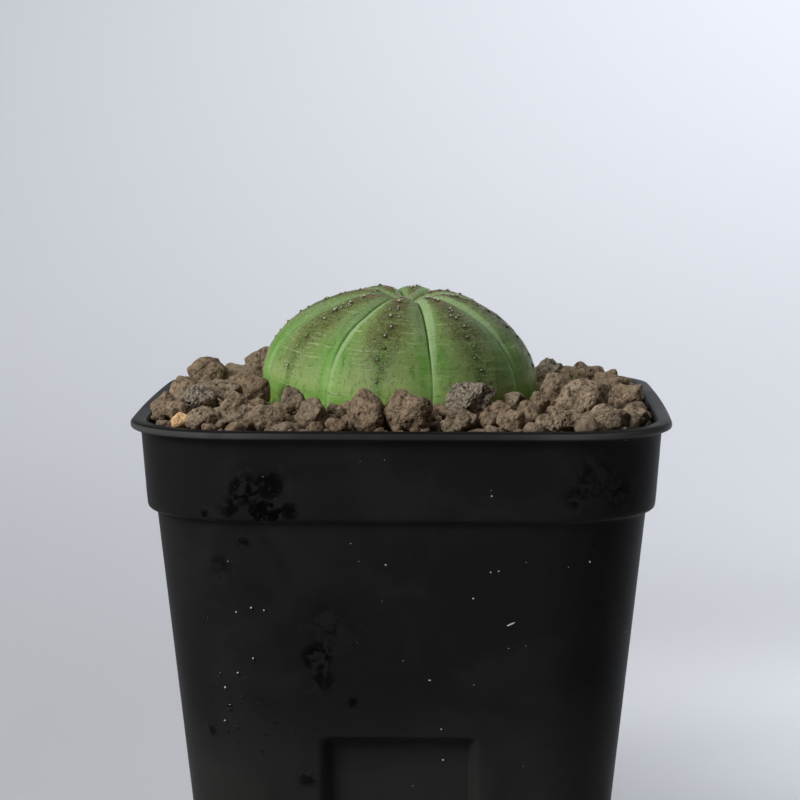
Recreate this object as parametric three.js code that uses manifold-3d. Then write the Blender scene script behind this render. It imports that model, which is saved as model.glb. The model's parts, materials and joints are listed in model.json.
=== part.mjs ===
// A baseball plant (Euphorbia obesa) growing in coarse grit in a square nursery pot.
//
// Millimetres, +Z up. The origin is in the middle of the pot's footprint, on the surface that
// the pot stands on, and the pot's front face looks along -Y.
//
// The pieces: the moulded pot, the plant with its taproot, the grit bed that fills the pot,
// and the larger loose stones that lie in the top of the bed.

import * as THREE from "three";
import { mergeVertices } from "three/addons/utils/BufferGeometryUtils.js";
import Module from "manifold-3d";

const wasm = await Module();
wasm.setup();

// ---------- Driving dimensions ----------

// The pot is a rounded square in plan. Its sizes across are half widths, from the axis.
const POT_HEIGHT = 88;
const BASE_HALF = 33.6;
const BODY_TOP_HALF = 40.9;
const BODY_TOP_Z = 71.8;
const COLLAR_BASE_HALF = 42.45;
const COLLAR_TOP_HALF = 43.4;
const RIM_HALF = 45;
const RIM_THICKNESS = 1.4;
const WALL = 1.0;
const FLOOR_TOP = 3.5;
const CORNER_RATIO = 0.41; // corner radius as a share of the half width
const SIDE_BULGE = 0.009; // how far the middle of a side stands out, as a share of the half width

// Each face of the pot has a sunk panel at its foot, with sloping sides.
const PANEL_TOP = 36;
const PANEL_DEPTH = 2.2;
const PANEL_MOUTH_HALF = 13.4;
const PANEL_FACE_HALF = 11.3;

// The underside is hollowed so that the pot stands on its four corners, and is drained by slots.
const FOOT_HOLLOW_HALF = 27;
const FOOT_HOLLOW_HEIGHT = 1.6;
const DRAIN_WIDTH = 3.6;
const DRAIN_LENGTH = 11;

// The plant: a flattened globe of eight ribs, half sunk in the grit, leaning a little.
const RIBS = 8;
const GLOBE_RADIUS = 24.2;
const GLOBE_RISE = 16.9; // from the widest level up to the rib crests
const GLOBE_DROP = 16.0; // from the widest level down to where the taproot starts
const CROWN_DIMPLE = 2.0;
const CROWN_DIMPLE_RADIUS = 4.2;
const RIB_DEPTH = 1.5;
const RIB_TURN = THREE.MathUtils.degToRad(-7.5); // from the front to the first rib's ridge
const WIDEST_ABOVE_RIM = 3.4;
const PLANT_X = -0.9;
const PLANT_Y = 0;
const LEAN_RIGHT = THREE.MathUtils.degToRad(2.7);
const LEAN_FORWARD = THREE.MathUtils.degToRad(4.5);
const TAPROOT_RADIUS = 7;
const TAPROOT_TIP_RADIUS = 1.2;
const TAPROOT_LENGTH = 34;
const BUD_SCARS = 9; // the small bumps along one ridge
const BUD_SCAR_RADIUS = 0.7;
const BUD_SCAR_SUNK = 0.25; // how far a bump's middle lies under the skin

// The grit.
const HEAP_AT_WALL = 1.2; // the heap's height above the rim beside the wall
const HEAP_RISE = 3.0; // and how much higher it stands towards the plant
const FILL_BELOW_HEAP = 3.6; // the packed fill's top, under the layer of whole grains
const CLEARANCE = 0.3; // between pieces that lie against each other

// ---------- Solids ----------

// Random numbers from 0 to 1, the same on every run.
function makeDraw(seed) {
  let state = (seed * 2654435761) % 4294967296;
  const draw = () => {
    state = (state * 1664525 + 1013904223) % 4294967296;
    return state / 4294967296;
  };
  draw();
  return draw;
}

function toSolid(geometry) {
  const bare = geometry.index ? geometry.toNonIndexed() : geometry.clone();
  bare.deleteAttribute("normal");
  bare.deleteAttribute("uv");
  const merged = mergeVertices(bare, 1e-4);
  return new wasm.Manifold(
    new wasm.Mesh({
      numProp: 3,
      vertProperties: merged.attributes.position.array,
      triVerts: new Uint32Array(merged.index.array),
    }),
  );
}

function toGeometry(solid) {
  const mesh = solid.getMesh();
  const geometry = new THREE.BufferGeometry();
  geometry.setAttribute(
    "position",
    new THREE.BufferAttribute(new Float32Array(mesh.vertProperties), 3),
  );
  geometry.setIndex(new THREE.BufferAttribute(new Uint32Array(mesh.triVerts), 1));
  geometry.computeVertexNormals();
  return geometry;
}

const fuse = (solids) => solids.reduce((all, next) => all.add(next));

// The largest body of a solid, without the scraps and slivers that a cut can leave.
function largestBody(solid) {
  const bodies = solid.simplify(0.02).decompose();
  return bodies.reduce((a, b) => (b.volume() > a.volume() ? b : a));
}

// ---------- Rounded square turned parts ----------

const SIDE_STEPS = 4;
const CORNER_STEPS = 5;

// The plan outline for a half width of 1, counter-clockwise from the middle of the front.
function unitOutline() {
  const straight = 1 - CORNER_RATIO;
  const side = [];
  for (let i = 0; i < SIDE_STEPS; i++) {
    const along = -1 + (2 * i) / SIDE_STEPS;
    side.push([straight * along, -1 - SIDE_BULGE * (1 - along * along)]);
  }
  for (let i = 0; i < CORNER_STEPS; i++) {
    const angle = (i / CORNER_STEPS - 1) * (Math.PI / 2);
    side.push([
      straight + CORNER_RATIO * Math.cos(angle),
      -straight + CORNER_RATIO * Math.sin(angle),
    ]);
  }
  const quarter = [
    ([x, y]) => [x, y],
    ([x, y]) => [-y, x],
    ([x, y]) => [-x, -y],
    ([x, y]) => [y, -x],
  ];
  return quarter.flatMap((turned) => side.map(turned));
}

const OUTLINE = unitOutline();

// A lathe whose circle is drawn out to the rounded square. The profile holds [half width, z]
// and runs upwards on the outside, from the axis to the axis.
function squareLathe(profile) {
  const points = profile.map(([half, z]) => new THREE.Vector2(half, z));
  const geometry = new THREE.LatheGeometry(points, OUTLINE.length);
  const place = geometry.getAttribute("position");
  for (let i = 0; i < place.count; i++) {
    const [half, z] = profile[i % profile.length];
    const [x, y] = OUTLINE[Math.floor(i / profile.length) % OUTLINE.length];
    place.setXYZ(i, half * x, half * y, z);
  }
  return toSolid(geometry);
}

// ---------- The pot ----------

const bodyHalf = (z) => THREE.MathUtils.mapLinear(z, 0, BODY_TOP_Z, BASE_HALF, BODY_TOP_HALF);
const wallLean = Math.atan((BODY_TOP_HALF - BASE_HALF) / BODY_TOP_Z);
const rimUnderside = POT_HEIGHT - RIM_THICKNESS;

// The wall's face from the height `from` up to the collar's top, moved in by `inset`.
const wallFace = (inset, from) => [
  [bodyHalf(from) - inset, from],
  [BODY_TOP_HALF - inset, BODY_TOP_Z + 0.8 * inset],
  [COLLAR_BASE_HALF - 0.35 - inset, BODY_TOP_Z + 0.5 + 0.8 * inset],
  [COLLAR_BASE_HALF - inset, BODY_TOP_Z + 1.4 + 0.6 * inset],
  [COLLAR_TOP_HALF - inset, rimUnderside],
];

// The four sunk panels as cutters, grown by `grow` on every side.
function panelCutters(grow) {
  const slope = (PANEL_MOUTH_HALF - PANEL_FACE_HALF) / PANEL_DEPTH;
  const outward = 4;
  const faceHalf = PANEL_FACE_HALF + 0.7 * grow;
  const mouthHalf = faceHalf + slope * (PANEL_DEPTH + grow + outward);
  const section = new THREE.Shape([
    new THREE.Vector2(-mouthHalf, -outward),
    new THREE.Vector2(mouthHalf, -outward),
    new THREE.Vector2(faceHalf, PANEL_DEPTH + grow),
    new THREE.Vector2(-faceHalf, PANEL_DEPTH + grow),
  ]);
  const belowBase = 8;
  const cutters = [];
  for (let face = 0; face < 4; face++) {
    const depth = belowBase + PANEL_TOP / Math.cos(wallLean) + grow;
    const geometry = new THREE.ExtrudeGeometry(section, { depth, bevelEnabled: false });
    geometry.translate(0, 0, -belowBase);
    geometry.rotateX(wallLean);
    geometry.translate(0, -BASE_HALF, 0);
    geometry.rotateZ((face * Math.PI) / 2);
    cutters.push(toSolid(geometry));
  }
  return fuse(cutters);
}

function slot(length, x, y, turn) {
  const radius = DRAIN_WIDTH / 2;
  const half = length / 2 - radius;
  const shape = new THREE.Shape();
  shape.absarc(half, 0, radius, -Math.PI / 2, Math.PI / 2);
  shape.absarc(-half, 0, radius, Math.PI / 2, (3 * Math.PI) / 2);
  const options = { depth: 3 * FLOOR_TOP, bevelEnabled: false, curveSegments: 5 };
  const geometry = new THREE.ExtrudeGeometry(shape, options);
  geometry.translate(0, 0, -FLOOR_TOP);
  geometry.rotateZ(turn);
  geometry.translate(x, y, 0);
  return toSolid(geometry);
}

// A slot lies across each corner, and a shorter one behind each panel.
function drainSlots() {
  const slots = [];
  for (let k = 0; k < 4; k++) {
    const face = (k * Math.PI) / 2;
    const corner = face + Math.PI / 4;
    const cornerAt = 0.86 * FOOT_HOLLOW_HALF;
    const faceAt = 0.68 * FOOT_HOLLOW_HALF;
    const across = Math.PI / 2;
    slots.push(
      slot(DRAIN_LENGTH, cornerAt * Math.cos(corner), cornerAt * Math.sin(corner), corner + across),
      slot(0.8 * DRAIN_LENGTH, faceAt * Math.cos(face), faceAt * Math.sin(face), face + across),
    );
  }
  return fuse(slots);
}

// The space inside the pot, moved in by `inset`, and carried up to `top`.
const cavity = (inset, top) =>
  squareLathe([
    [0, FLOOR_TOP + inset],
    ...wallFace(WALL + inset, FLOOR_TOP + inset),
    [COLLAR_TOP_HALF - WALL - inset, top],
    [0, top],
  ]).subtract(panelCutters(WALL + inset));

function potSolid() {
  const edge = 0.7;
  const outer = squareLathe([
    [0, 0],
    [BASE_HALF - edge, 0],
    ...wallFace(0, edge),
    [RIM_HALF - 0.3, rimUnderside + 0.1],
    [RIM_HALF, rimUnderside + 0.4],
    [RIM_HALF, POT_HEIGHT - 0.4],
    [RIM_HALF - 0.4, POT_HEIGHT],
    [0, POT_HEIGHT],
  ]).subtract(panelCutters(0));
  const footHollow = squareLathe([
    [0, -1],
    [FOOT_HOLLOW_HALF, -1],
    [FOOT_HOLLOW_HALF - 1, FOOT_HOLLOW_HEIGHT],
    [0, FOOT_HOLLOW_HEIGHT],
  ]);
  return outer.subtract(cavity(0, POT_HEIGHT + 1)).subtract(footHollow).subtract(drainSlots());
}

// ---------- The plant ----------

const RIB_COLUMNS = 8;
const GLOBE_RINGS = 16;
const LOWEST_LATITUDE = THREE.MathUtils.degToRad(-64);

// A point of the rib crests' outline at a latitude, as [radius, height].
function crest(latitude, swell = 0) {
  const radius = (GLOBE_RADIUS + swell) * Math.cos(latitude);
  const semi = (latitude > 0 ? GLOBE_RISE : GLOBE_DROP) + swell;
  const nearAxis = Math.exp(-((radius / CROWN_DIMPLE_RADIUS) ** 2));
  const dimple = latitude > 0 ? CROWN_DIMPLE * nearAxis : 0;
  return [radius, semi * Math.sin(latitude) - dimple];
}

// How far the skin lies in from the crests: `aside` is 0 on a ridge and 1 in a groove.
function grooveDepth(aside, latitude) {
  const radius = GLOBE_RADIUS * Math.cos(latitude);
  const taper = Math.min(1, radius / 6) * THREE.MathUtils.smoothstep(latitude, -1.2, -0.5);
  return taper * RIB_DEPTH * Math.abs(aside) ** 2.3;
}

// The skin's point at an angle from the front and a latitude.
function skinPoint(angle, aside, latitude) {
  const [radius, height] = crest(latitude);
  const depth = grooveDepth(aside, latitude);
  const outward = radius - depth * Math.cos(latitude);
  return [outward * Math.sin(angle), -outward * Math.cos(angle), height - depth * Math.sin(latitude)];
}

function globeSolid() {
  const latitudes = [];
  for (let i = 0; i <= GLOBE_RINGS; i++) {
    latitudes.push(THREE.MathUtils.lerp(LOWEST_LATITUDE, Math.PI / 2, i / GLOBE_RINGS));
  }
  const points = latitudes.map((latitude) => new THREE.Vector2(...crest(latitude)));
  points[points.length - 1].x = 0;
  points.unshift(new THREE.Vector2(0, points[0].y));
  const columns = RIBS * RIB_COLUMNS;
  const geometry = new THREE.LatheGeometry(points, columns);
  const place = geometry.getAttribute("position");
  for (let i = 0; i < place.count; i++) {
    const row = i % points.length;
    if (row === 0 || row === points.length - 1) {
      place.setXYZ(i, 0, 0, points[row].y);
      continue;
    }
    const column = Math.floor(i / points.length) % columns;
    const rib = Math.floor(column / RIB_COLUMNS);
    const even = (2 * (column % RIB_COLUMNS)) / RIB_COLUMNS - 1; // -1 to 1 across the rib
    const aside = Math.sign(even) * (1 - (1 - Math.abs(even)) ** 1.3); // closer at the grooves
    const angle = RIB_TURN + ((rib + aside / 2) * 2 * Math.PI) / RIBS;
    place.setXYZ(i, ...skinPoint(angle, aside, latitudes[row - 1]));
  }
  return toSolid(geometry);
}

// The taproot, thick at its neck inside the globe, swollen by `swell` where it is cut as a hole.
function taprootSolid(swell) {
  const neck = crest(LOWEST_LATITUDE)[1];
  const profile = [
    [0, neck - TAPROOT_LENGTH - swell],
    [TAPROOT_TIP_RADIUS + swell, neck - TAPROOT_LENGTH - swell],
    [0.4 * TAPROOT_RADIUS + swell, neck - 0.55 * TAPROOT_LENGTH],
    [TAPROOT_RADIUS + swell, neck - 0.12 * TAPROOT_LENGTH],
    [TAPROOT_RADIUS + 2 + swell, neck + 1],
    [0, neck + 1],
  ];
  const geometry = new THREE.LatheGeometry(profile.map((p) => new THREE.Vector2(...p)), 12);
  geometry.rotateX(Math.PI / 2);
  return toSolid(geometry);
}

// The bumps left along each ridge by old flower stalks: they stand either side of the crest by
// turns, closer together towards the crown.
function budScars() {
  const draw = makeDraw(5);
  const scars = [];
  for (let rib = 0; rib < RIBS; rib++) {
    for (let k = 0; k < BUD_SCARS; k++) {
      const down = (k + 0.35 + 0.4 * draw()) / BUD_SCARS;
      const latitude = THREE.MathUtils.degToRad(74 - 62 * down ** 0.85);
      const aside = (k % 2 ? 0.05 : -0.05) + 0.06 * (draw() - 0.5);
      const size = BUD_SCAR_RADIUS * (0.75 + 0.4 * draw());
      const angle = RIB_TURN + ((rib + aside / 2) * 2 * Math.PI) / RIBS;
      const geometry = new THREE.OctahedronGeometry(size);
      const [x, y, z] = skinPoint(angle, aside, latitude);
      const sunk = 1 - BUD_SCAR_SUNK / GLOBE_RADIUS;
      geometry.rotateX(0.6 * draw());
      geometry.translate(sunk * x, sunk * y, sunk * z);
      scars.push(toSolid(geometry));
    }
  }
  return scars;
}

// The envelope of the plant, with its grooves filled, as it is cut out of the grit.
function plantHole(swell) {
  const points = [];
  for (let i = 0; i <= GLOBE_RINGS; i++) {
    const latitude = THREE.MathUtils.lerp(LOWEST_LATITUDE, Math.PI / 2, i / GLOBE_RINGS);
    points.push(new THREE.Vector2(...crest(latitude, swell)));
  }
  points[points.length - 1].x = 0;
  points.unshift(new THREE.Vector2(0, points[0].y));
  const geometry = new THREE.LatheGeometry(points, 48);
  geometry.rotateX(Math.PI / 2);
  return toSolid(geometry).add(taprootSolid(swell));
}

// Where the plant stands. Its own frame has its origin at the middle of its widest level.
const plantPlace = new THREE.Object3D();
plantPlace.position.set(PLANT_X, PLANT_Y, POT_HEIGHT + WIDEST_ABOVE_RIM);
plantPlace.rotation.set(LEAN_FORWARD, LEAN_RIGHT, 0);
plantPlace.updateMatrixWorld();

// ---------- Grit grains ----------

const GRAIN_FORMS = 12;
const GRAIN_FACETS = 14;
const GRAIN_SHARPNESS = 8;

// A grain form is a rounded polyhedron: facets in spread directions, each at its own distance.
function grainForm(form) {
  const draw = makeDraw(100 + form);
  const facets = [];
  for (let i = 0; i < GRAIN_FACETS; i++) {
    const height = 1 - (2 * (i + 0.5)) / GRAIN_FACETS;
    const around = i * 2.399963;
    const ring = Math.sqrt(1 - height * height);
    const normal = new THREE.Vector3(
      ring * Math.cos(around) + 0.6 * (draw() - 0.5),
      ring * Math.sin(around) + 0.6 * (draw() - 0.5),
      height + 0.6 * (draw() - 0.5),
    ).normalize();
    facets.push({ normal, distance: 0.78 + 0.3 * draw() });
  }
  return facets;
}

const FORMS = Array.from({ length: GRAIN_FORMS }, (_, form) => grainForm(form));

// How far a form reaches from its middle in a direction.
function reach(form, direction) {
  let sum = 0;
  for (const { normal, distance } of FORMS[form]) {
    const facing = Math.max(0, normal.dot(direction)) / distance;
    sum += facing ** GRAIN_SHARPNESS;
  }
  return sum ** (-1 / GRAIN_SHARPNESS);
}

// A grain as a solid. `sides` makes the ball that it is shaped from, and `swell` moves its
// faces out.
const manySides = () => new THREE.IcosahedronGeometry(1, 1);
const someSides = () => new THREE.IcosahedronGeometry(1, 0);
const fewSides = () => new THREE.OctahedronGeometry(1);

function grainSolid(grain, sides, swell = 0) {
  const geometry = sides();
  const place = geometry.getAttribute("position");
  const turn = new THREE.Euler(...grain.turn);
  const grow = 1 + swell / (0.7 * Math.min(...grain.semi));
  const point = new THREE.Vector3();
  for (let i = 0; i < place.count; i++) {
    point.fromBufferAttribute(place, i).normalize();
    point.multiplyScalar(grow * reach(grain.form, point));
    point.multiply(new THREE.Vector3(...grain.semi));
    point.applyEuler(turn).add(new THREE.Vector3(...grain.at));
    place.setXYZ(i, point.x, point.y, point.z);
  }
  return toSolid(geometry);
}

// ---------- The larger stones ----------

// Each stone: [x, y, height of its middle above the rim, width, depth, height, kind].
const STONES = [
  [-5.1, -36.6, 2.1, 6.4, 5.4, 7.0, "brown"],
  [1.2, -36.6, 2.0, 7.4, 5.6, 6.2, "brown"],
  [11.0, -31.2, 3.6, 7.2, 6.0, 4.8, "grey"],
  [30.4, -25.5, 2.8, 8.6, 6.8, 6.0, "pale"],
  [-21.7, -36.6, 0.8, 6.4, 4.8, 4.4, "brown"],
  [25.9, -37.2, 0.5, 7.4, 4.6, 3.8, "pale"],
  [-14.2, -35.0, 1.2, 5.4, 4.8, 5.2, "brown"],
  [33.9, -34.4, 0.9, 6.0, 5.0, 4.4, "pale"],
  [-24.8, -19.0, 3.7, 4.4, 4.4, 6.0, "brown"],
  [-29.4, -18.4, 3.4, 5.0, 4.8, 4.2, "brown"],
  [-33.9, -22.2, 2.4, 6.2, 5.4, 4.0, "grey"],
  [-27.6, -27.2, 1.8, 4.4, 4.2, 4.2, "brown"],
  [-39.2, -26.2, 1.2, 5.2, 5.0, 4.4, "brown"],
  [-37.0, -28.9, 1.4, 4.4, 3.6, 3.0, "brown"],
  [-32.6, -36.2, 0.9, 4.8, 4.4, 3.4, "pale"],
  [-35.7, -34.9, 0.4, 3.2, 2.6, 2.4, "orange"],
  [-18.0, -28.4, 2.8, 4.0, 3.8, 4.4, "brown"],
  [9.9, -37.4, 0.5, 5.4, 4.4, 4.0, "brown"],
  [18.8, -29.0, 3.0, 4.2, 3.6, 3.0, "brown"],
  [21.3, -34.2, 1.7, 3.9, 3.6, 4.4, "pale"],
  [26.6, -8.6, 3.4, 4.6, 4.6, 4.8, "brown"],
  [38.8, -8.0, 1.7, 4.6, 4.4, 4.0, "pale"],
  [38.6, -28.2, 0.4, 5.4, 3.6, 3.0, "pale"],
  [35.6, 4.6, 1.6, 7.2, 5.4, 4.2, "brown"],
  [32.2, 14.6, 2.5, 4.4, 4.4, 4.2, "pale"],
  [-36.6, 19.6, 2.2, 6.8, 6.2, 5.4, "brown"],
  [-39.2, 1.8, 1.6, 5.0, 5.2, 3.8, "brown"],
  [-26.6, 30.2, 2.8, 8.4, 7.4, 6.0, "brown"],
  [26.6, 30.2, 2.2, 5.2, 4.8, 3.4, "grey"],
  [-26.2, -33.8, 0.7, 3.8, 3.6, 3.8, "brown"],
  [-23.4, -27.6, 1.8, 3.8, 3.6, 2.8, "brown"],
  [-10.1, -38.4, 0.1, 3.6, 3.2, 2.8, "brown"],
  [16.5, -33.2, 1.9, 3.5, 3.4, 3.4, "brown"],
  [18.0, -37.8, 0.8, 3.8, 3.6, 3.8, "brown"],
  [14.7, -36.8, 0.8, 3.2, 3.2, 3.2, "brown"],
  [22.8, -28.0, 2.6, 3.2, 3.2, 3.4, "brown"],
  [25.2, -23.4, 2.6, 2.8, 2.8, 2.8, "brown"],
  [25.9, -32.2, 1.7, 3.2, 3.0, 2.4, "brown"],
  [-10.6, -31.6, 1.4, 3.4, 3.2, 2.8, "brown"],
  [5.9, -38.4, 0.2, 2.8, 2.6, 3.0, "brown"],
];
const LOOSE_WIDTH = 4.4; // from this width a stone is a loose piece, and below it part of the bed

const stones = STONES.map(([x, y, above, width, depth, height, kind], i) => {
  const draw = makeDraw(300 + i);
  const fill = 0.55; // half a size, with the share that a form's facets cut off
  return {
    at: [x, y, POT_HEIGHT + above],
    semi: [fill * width, fill * depth, fill * height],
    turn: [0.3 * (draw() - 0.5), 0.3 * (draw() - 0.5), 0.8 * (draw() - 0.5)],
    form: i % GRAIN_FORMS,
    kind,
    loose: width >= LOOSE_WIDTH || kind === "orange",
  };
});

// ---------- The rule that drops the small grains ----------

const bedHalf = COLLAR_TOP_HALF - WALL - CLEARANCE;
const bedCorner = CORNER_RATIO * bedHalf;

// How far a point lies in from the bed's edge.
function fromWall(x, y) {
  const dx = Math.max(Math.abs(x) - (bedHalf - bedCorner), 0);
  const dy = Math.max(Math.abs(y) - (bedHalf - bedCorner), 0);
  return bedCorner - Math.hypot(dx, dy);
}

// The heap's height at a share of the way from the middle to the wall.
const heapTop = (share) => POT_HEIGHT + HEAP_AT_WALL + HEAP_RISE * (1 - share * share);
const shareOut = (x, y) => Math.max(Math.abs(x), Math.abs(y)) / bedHalf;

const DROPS = [
  { count: 34, least: 2.7, most: 3.8 },
  { count: 66, least: 1.9, most: 2.7 },
  { count: 40, least: 1.3, most: 1.9 },
];
const FINE_GRAIN = 2.2; // grains that reach less far across than this get few sides
const TRIES = 10;
const PACKING = 0.7; // how close two grains come, as a share of their sizes together

// Grains fall one by one, from coarse to fine. Each tries some places and stays in the lowest.
function dropGrains() {
  const draw = makeDraw(7);
  const size = (s) => (s[0] + s[1] + s[2]) / 3;
  const lying = stones.map((s) => ({ at: s.at, size: size(s.semi) }));
  const grains = [];
  for (const { count, least, most } of DROPS) {
    for (let n = 0; n < count; n++) {
      const radius = least + (most - least) * draw() ** 1.4;
      let best = null;
      for (let t = 0; t < TRIES; t++) {
        const x = bedHalf * (2 * draw() - 1);
        const y = bedHalf * (2 * draw() - 1);
        if (fromWall(x, y) < 0.9 * radius) continue;
        if (Math.hypot(x - PLANT_X, y - PLANT_Y) < GLOBE_RADIUS + 0.7 * radius) continue;
        let z = heapTop(shareOut(x, y)) - FILL_BELOW_HEAP + 0.3 * radius;
        for (const other of lying) {
          const apart = PACKING * (radius + other.size);
          const gap = Math.hypot(x - other.at[0], y - other.at[1]);
          if (gap < apart) {
            z = Math.max(z, other.at[2] + Math.sqrt(apart * apart - gap * gap));
          }
        }
        if (!best || z < best[2]) best = [x, y, z];
      }
      const semi = [1.15, 0.8 + 0.3 * draw(), 0.7 + 0.3 * draw()].map((s) => s * radius);
      const turn = [0.9 * (draw() - 0.5), 0.9 * (draw() - 0.5), 2 * Math.PI * draw()];
      const form = Math.floor(GRAIN_FORMS * draw());
      if (!best || best[2] + 0.5 * radius > heapTop(shareOut(best[0], best[1]))) continue;
      lying.push({ at: best, size: radius });
      grains.push({ at: best, semi, turn, form });
    }
  }
  return grains;
}

// A grain like a stone, from the height `top` down into the packed fill, that holds the stone or
// stands for it in the bed. `wide` is its width as a share of the stone's.
function rootedGrain(stone, top, wide) {
  const [x, y] = stone.at;
  const foot = heapTop(shareOut(x, y)) - FILL_BELOW_HEAP - 0.8;
  return {
    ...stone,
    at: [x, y, (top + foot) / 2],
    semi: [wide * stone.semi[0], wide * stone.semi[1], (top - foot) / 2],
  };
}

const inBed = (stone) => rootedGrain(stone, stone.at[2] + stone.semi[2], 1);
const under = (stone) => rootedGrain(stone, stone.at[2], 0.8);

// ---------- Putting it together ----------

const COLOURS = {
  pot: new THREE.MeshStandardMaterial({ color: 0x1c1c1d, roughness: 0.5, metalness: 0 }),
  skin: new THREE.MeshStandardMaterial({ color: 0x6f9a5a, roughness: 0.55, metalness: 0 }),
  brown: new THREE.MeshStandardMaterial({ color: 0x6d5f52, roughness: 0.95, metalness: 0 }),
  pale: new THREE.MeshStandardMaterial({ color: 0x85765f, roughness: 0.95, metalness: 0 }),
  grey: new THREE.MeshStandardMaterial({ color: 0x6a6661, roughness: 0.95, metalness: 0 }),
  orange: new THREE.MeshStandardMaterial({ color: 0xc08a4a, roughness: 0.95, metalness: 0 }),
};

const plant = new THREE.Group();
plant.name = "baseball_plant_in_pot";

function addPiece(name, solid, material, place) {
  const mesh = new THREE.Mesh(toGeometry(solid), material);
  mesh.name = name;
  if (place) {
    mesh.position.copy(place.position);
    mesh.rotation.copy(place.rotation);
  }
  plant.add(mesh);
}

addPiece("pot", potSolid(), COLOURS.pot);
addPiece(
  "plant_body",
  largestBody(fuse([globeSolid(), taprootSolid(0), ...budScars()])),
  COLOURS.skin,
  plantPlace,
);

const heapLimit = POT_HEIGHT + 12;
const room = cavity(CLEARANCE, heapLimit);
const hole = plantHole(CLEARANCE).transform(plantPlace.matrixWorld.toArray());

// Loose stones: each is trimmed by the plant and by the stones that lie before it.
const seats = [];
stones
  .filter((stone) => stone.loose)
  .forEach((stone, i) => {
    let solid = grainSolid(stone, manySides).intersect(room).subtract(hole);
    for (const seat of seats) solid = solid.subtract(seat);
    seats.push(grainSolid(stone, manySides, CLEARANCE));
    const name = "loose_stone_" + String(i + 1).padStart(2, "0");
    addPiece(name, largestBody(solid), COLOURS[stone.kind]);
  });

// The bed: the packed fill below, with the grains of its top fused to it.
const packedFill = squareLathe([
  [0, 0],
  [RIM_HALF, 0],
  ...[1, 0.8, 0.6, 0].map((share) => [
    share < 1 ? share * bedHalf : RIM_HALF,
    heapTop(share) - FILL_BELOW_HEAP,
  ]),
]);
const stoneGrains = stones.map((stone) => (stone.loose ? under(stone) : inBed(stone)));
const topGrains = [...stoneGrains, ...dropGrains()];
const sidesFor = (grain) => (grain.semi[0] < FINE_GRAIN ? fewSides : someSides);
let bed = fuse([packedFill, ...topGrains.map((grain) => grainSolid(grain, sidesFor(grain)))]);
bed = bed.intersect(room).subtract(hole);
for (const seat of seats) bed = bed.subtract(seat);
addPiece("grit_bed", largestBody(bed), COLOURS.brown);

export default plant;
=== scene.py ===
import json
import math
from functools import partialmethod

import bmesh
import bpy
import numpy as np
from mathutils import Matrix, Vector

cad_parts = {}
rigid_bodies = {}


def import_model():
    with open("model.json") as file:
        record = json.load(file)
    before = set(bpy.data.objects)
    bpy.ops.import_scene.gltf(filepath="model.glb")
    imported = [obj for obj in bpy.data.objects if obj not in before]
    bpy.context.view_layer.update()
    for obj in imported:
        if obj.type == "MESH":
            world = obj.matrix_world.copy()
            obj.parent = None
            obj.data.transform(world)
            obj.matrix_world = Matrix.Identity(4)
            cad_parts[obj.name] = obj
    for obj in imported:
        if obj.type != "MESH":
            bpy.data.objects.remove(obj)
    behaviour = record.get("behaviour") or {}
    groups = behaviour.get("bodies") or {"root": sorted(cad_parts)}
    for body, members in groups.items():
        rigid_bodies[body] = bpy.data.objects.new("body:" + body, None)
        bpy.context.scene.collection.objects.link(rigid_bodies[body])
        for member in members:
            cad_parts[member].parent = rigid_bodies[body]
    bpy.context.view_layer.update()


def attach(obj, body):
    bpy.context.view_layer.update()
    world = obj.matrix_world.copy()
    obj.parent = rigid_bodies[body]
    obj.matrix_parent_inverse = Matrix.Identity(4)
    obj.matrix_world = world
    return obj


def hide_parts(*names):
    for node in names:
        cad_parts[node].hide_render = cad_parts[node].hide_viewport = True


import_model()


# ---------- The camera ----------
# It looks at the pot's front from a little above the rim, close enough that the frame cuts off
# the pot's foot.

VIEW_TARGET = Vector((-0.00083, 0.0, 0.08783))
VIEW_DISTANCE = 0.4473
VIEW_TURN = math.radians(1.463)
VIEW_RISE = math.radians(6.828)
SENSOR_WIDTH = 36.0
LENS = 113.82


def put(name, data):
    """A new object in the scene."""
    made = bpy.data.objects.new(name, data)
    bpy.context.scene.collection.objects.link(made)
    return made


away = Vector((
    math.sin(VIEW_TURN) * math.cos(VIEW_RISE),
    -math.cos(VIEW_TURN) * math.cos(VIEW_RISE),
    math.sin(VIEW_RISE),
))
camera = put("camera", bpy.data.cameras.new("camera"))
camera.data.sensor_width = SENSOR_WIDTH
camera.data.lens = LENS
camera.location = VIEW_TARGET + away * VIEW_DISTANCE
camera.rotation_euler = away.to_track_quat("Z", "Y").to_euler()
bpy.context.scene.camera = camera


# ---------- The pot ----------
# One moulding of black plastic about 1 mm thick: a rounded square that tapers to its foot, with
# a deeper collar under a thin flat rim and a sunk panel at the foot of each face. It stands on
# its four corners and is drained by slots in its floor.

MM = 0.001
POT_HEIGHT = 88.0
BASE_HALF = 33.6
BODY_TOP_HALF = 40.9
BODY_TOP_Z = 71.8
COLLAR_FOOT_Z = 73.2
COLLAR_BASE_HALF = 42.45
COLLAR_TOP_HALF = 43.4
COLLAR_OUTSIDE = ((COLLAR_FOOT_Z, COLLAR_BASE_HALF), (86.6, COLLAR_TOP_HALF))  # z, half width
COLLAR_INSIDE = ((73.8, 41.45), (86.6, 42.4))
RIM_HALF = 45.0
WALL = 1.0
FLOOR_TOP = 3.5
CORNER_RATIO = 0.41  # a corner's radius, as a share of the half width
SIDE_BULGE = 0.009  # the swell of a side at its middle, as a share of the half width
PANEL_TOP = 36.0
PANEL_DEPTH = 2.2
PANEL_MOUTH_HALF = 13.4
PANEL_FACE_HALF = 11.3
FOOT_HOLLOW_HALF = 27.0
FOOT_HOLLOW_HEIGHT = 1.6
PANEL_TOP_SLOPE = 1.2
PANEL_SHOULDER = 1.8  # over 1: soft where the wall turns in, sharp at the panel's face
DRAIN_WIDTH = 3.6
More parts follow.
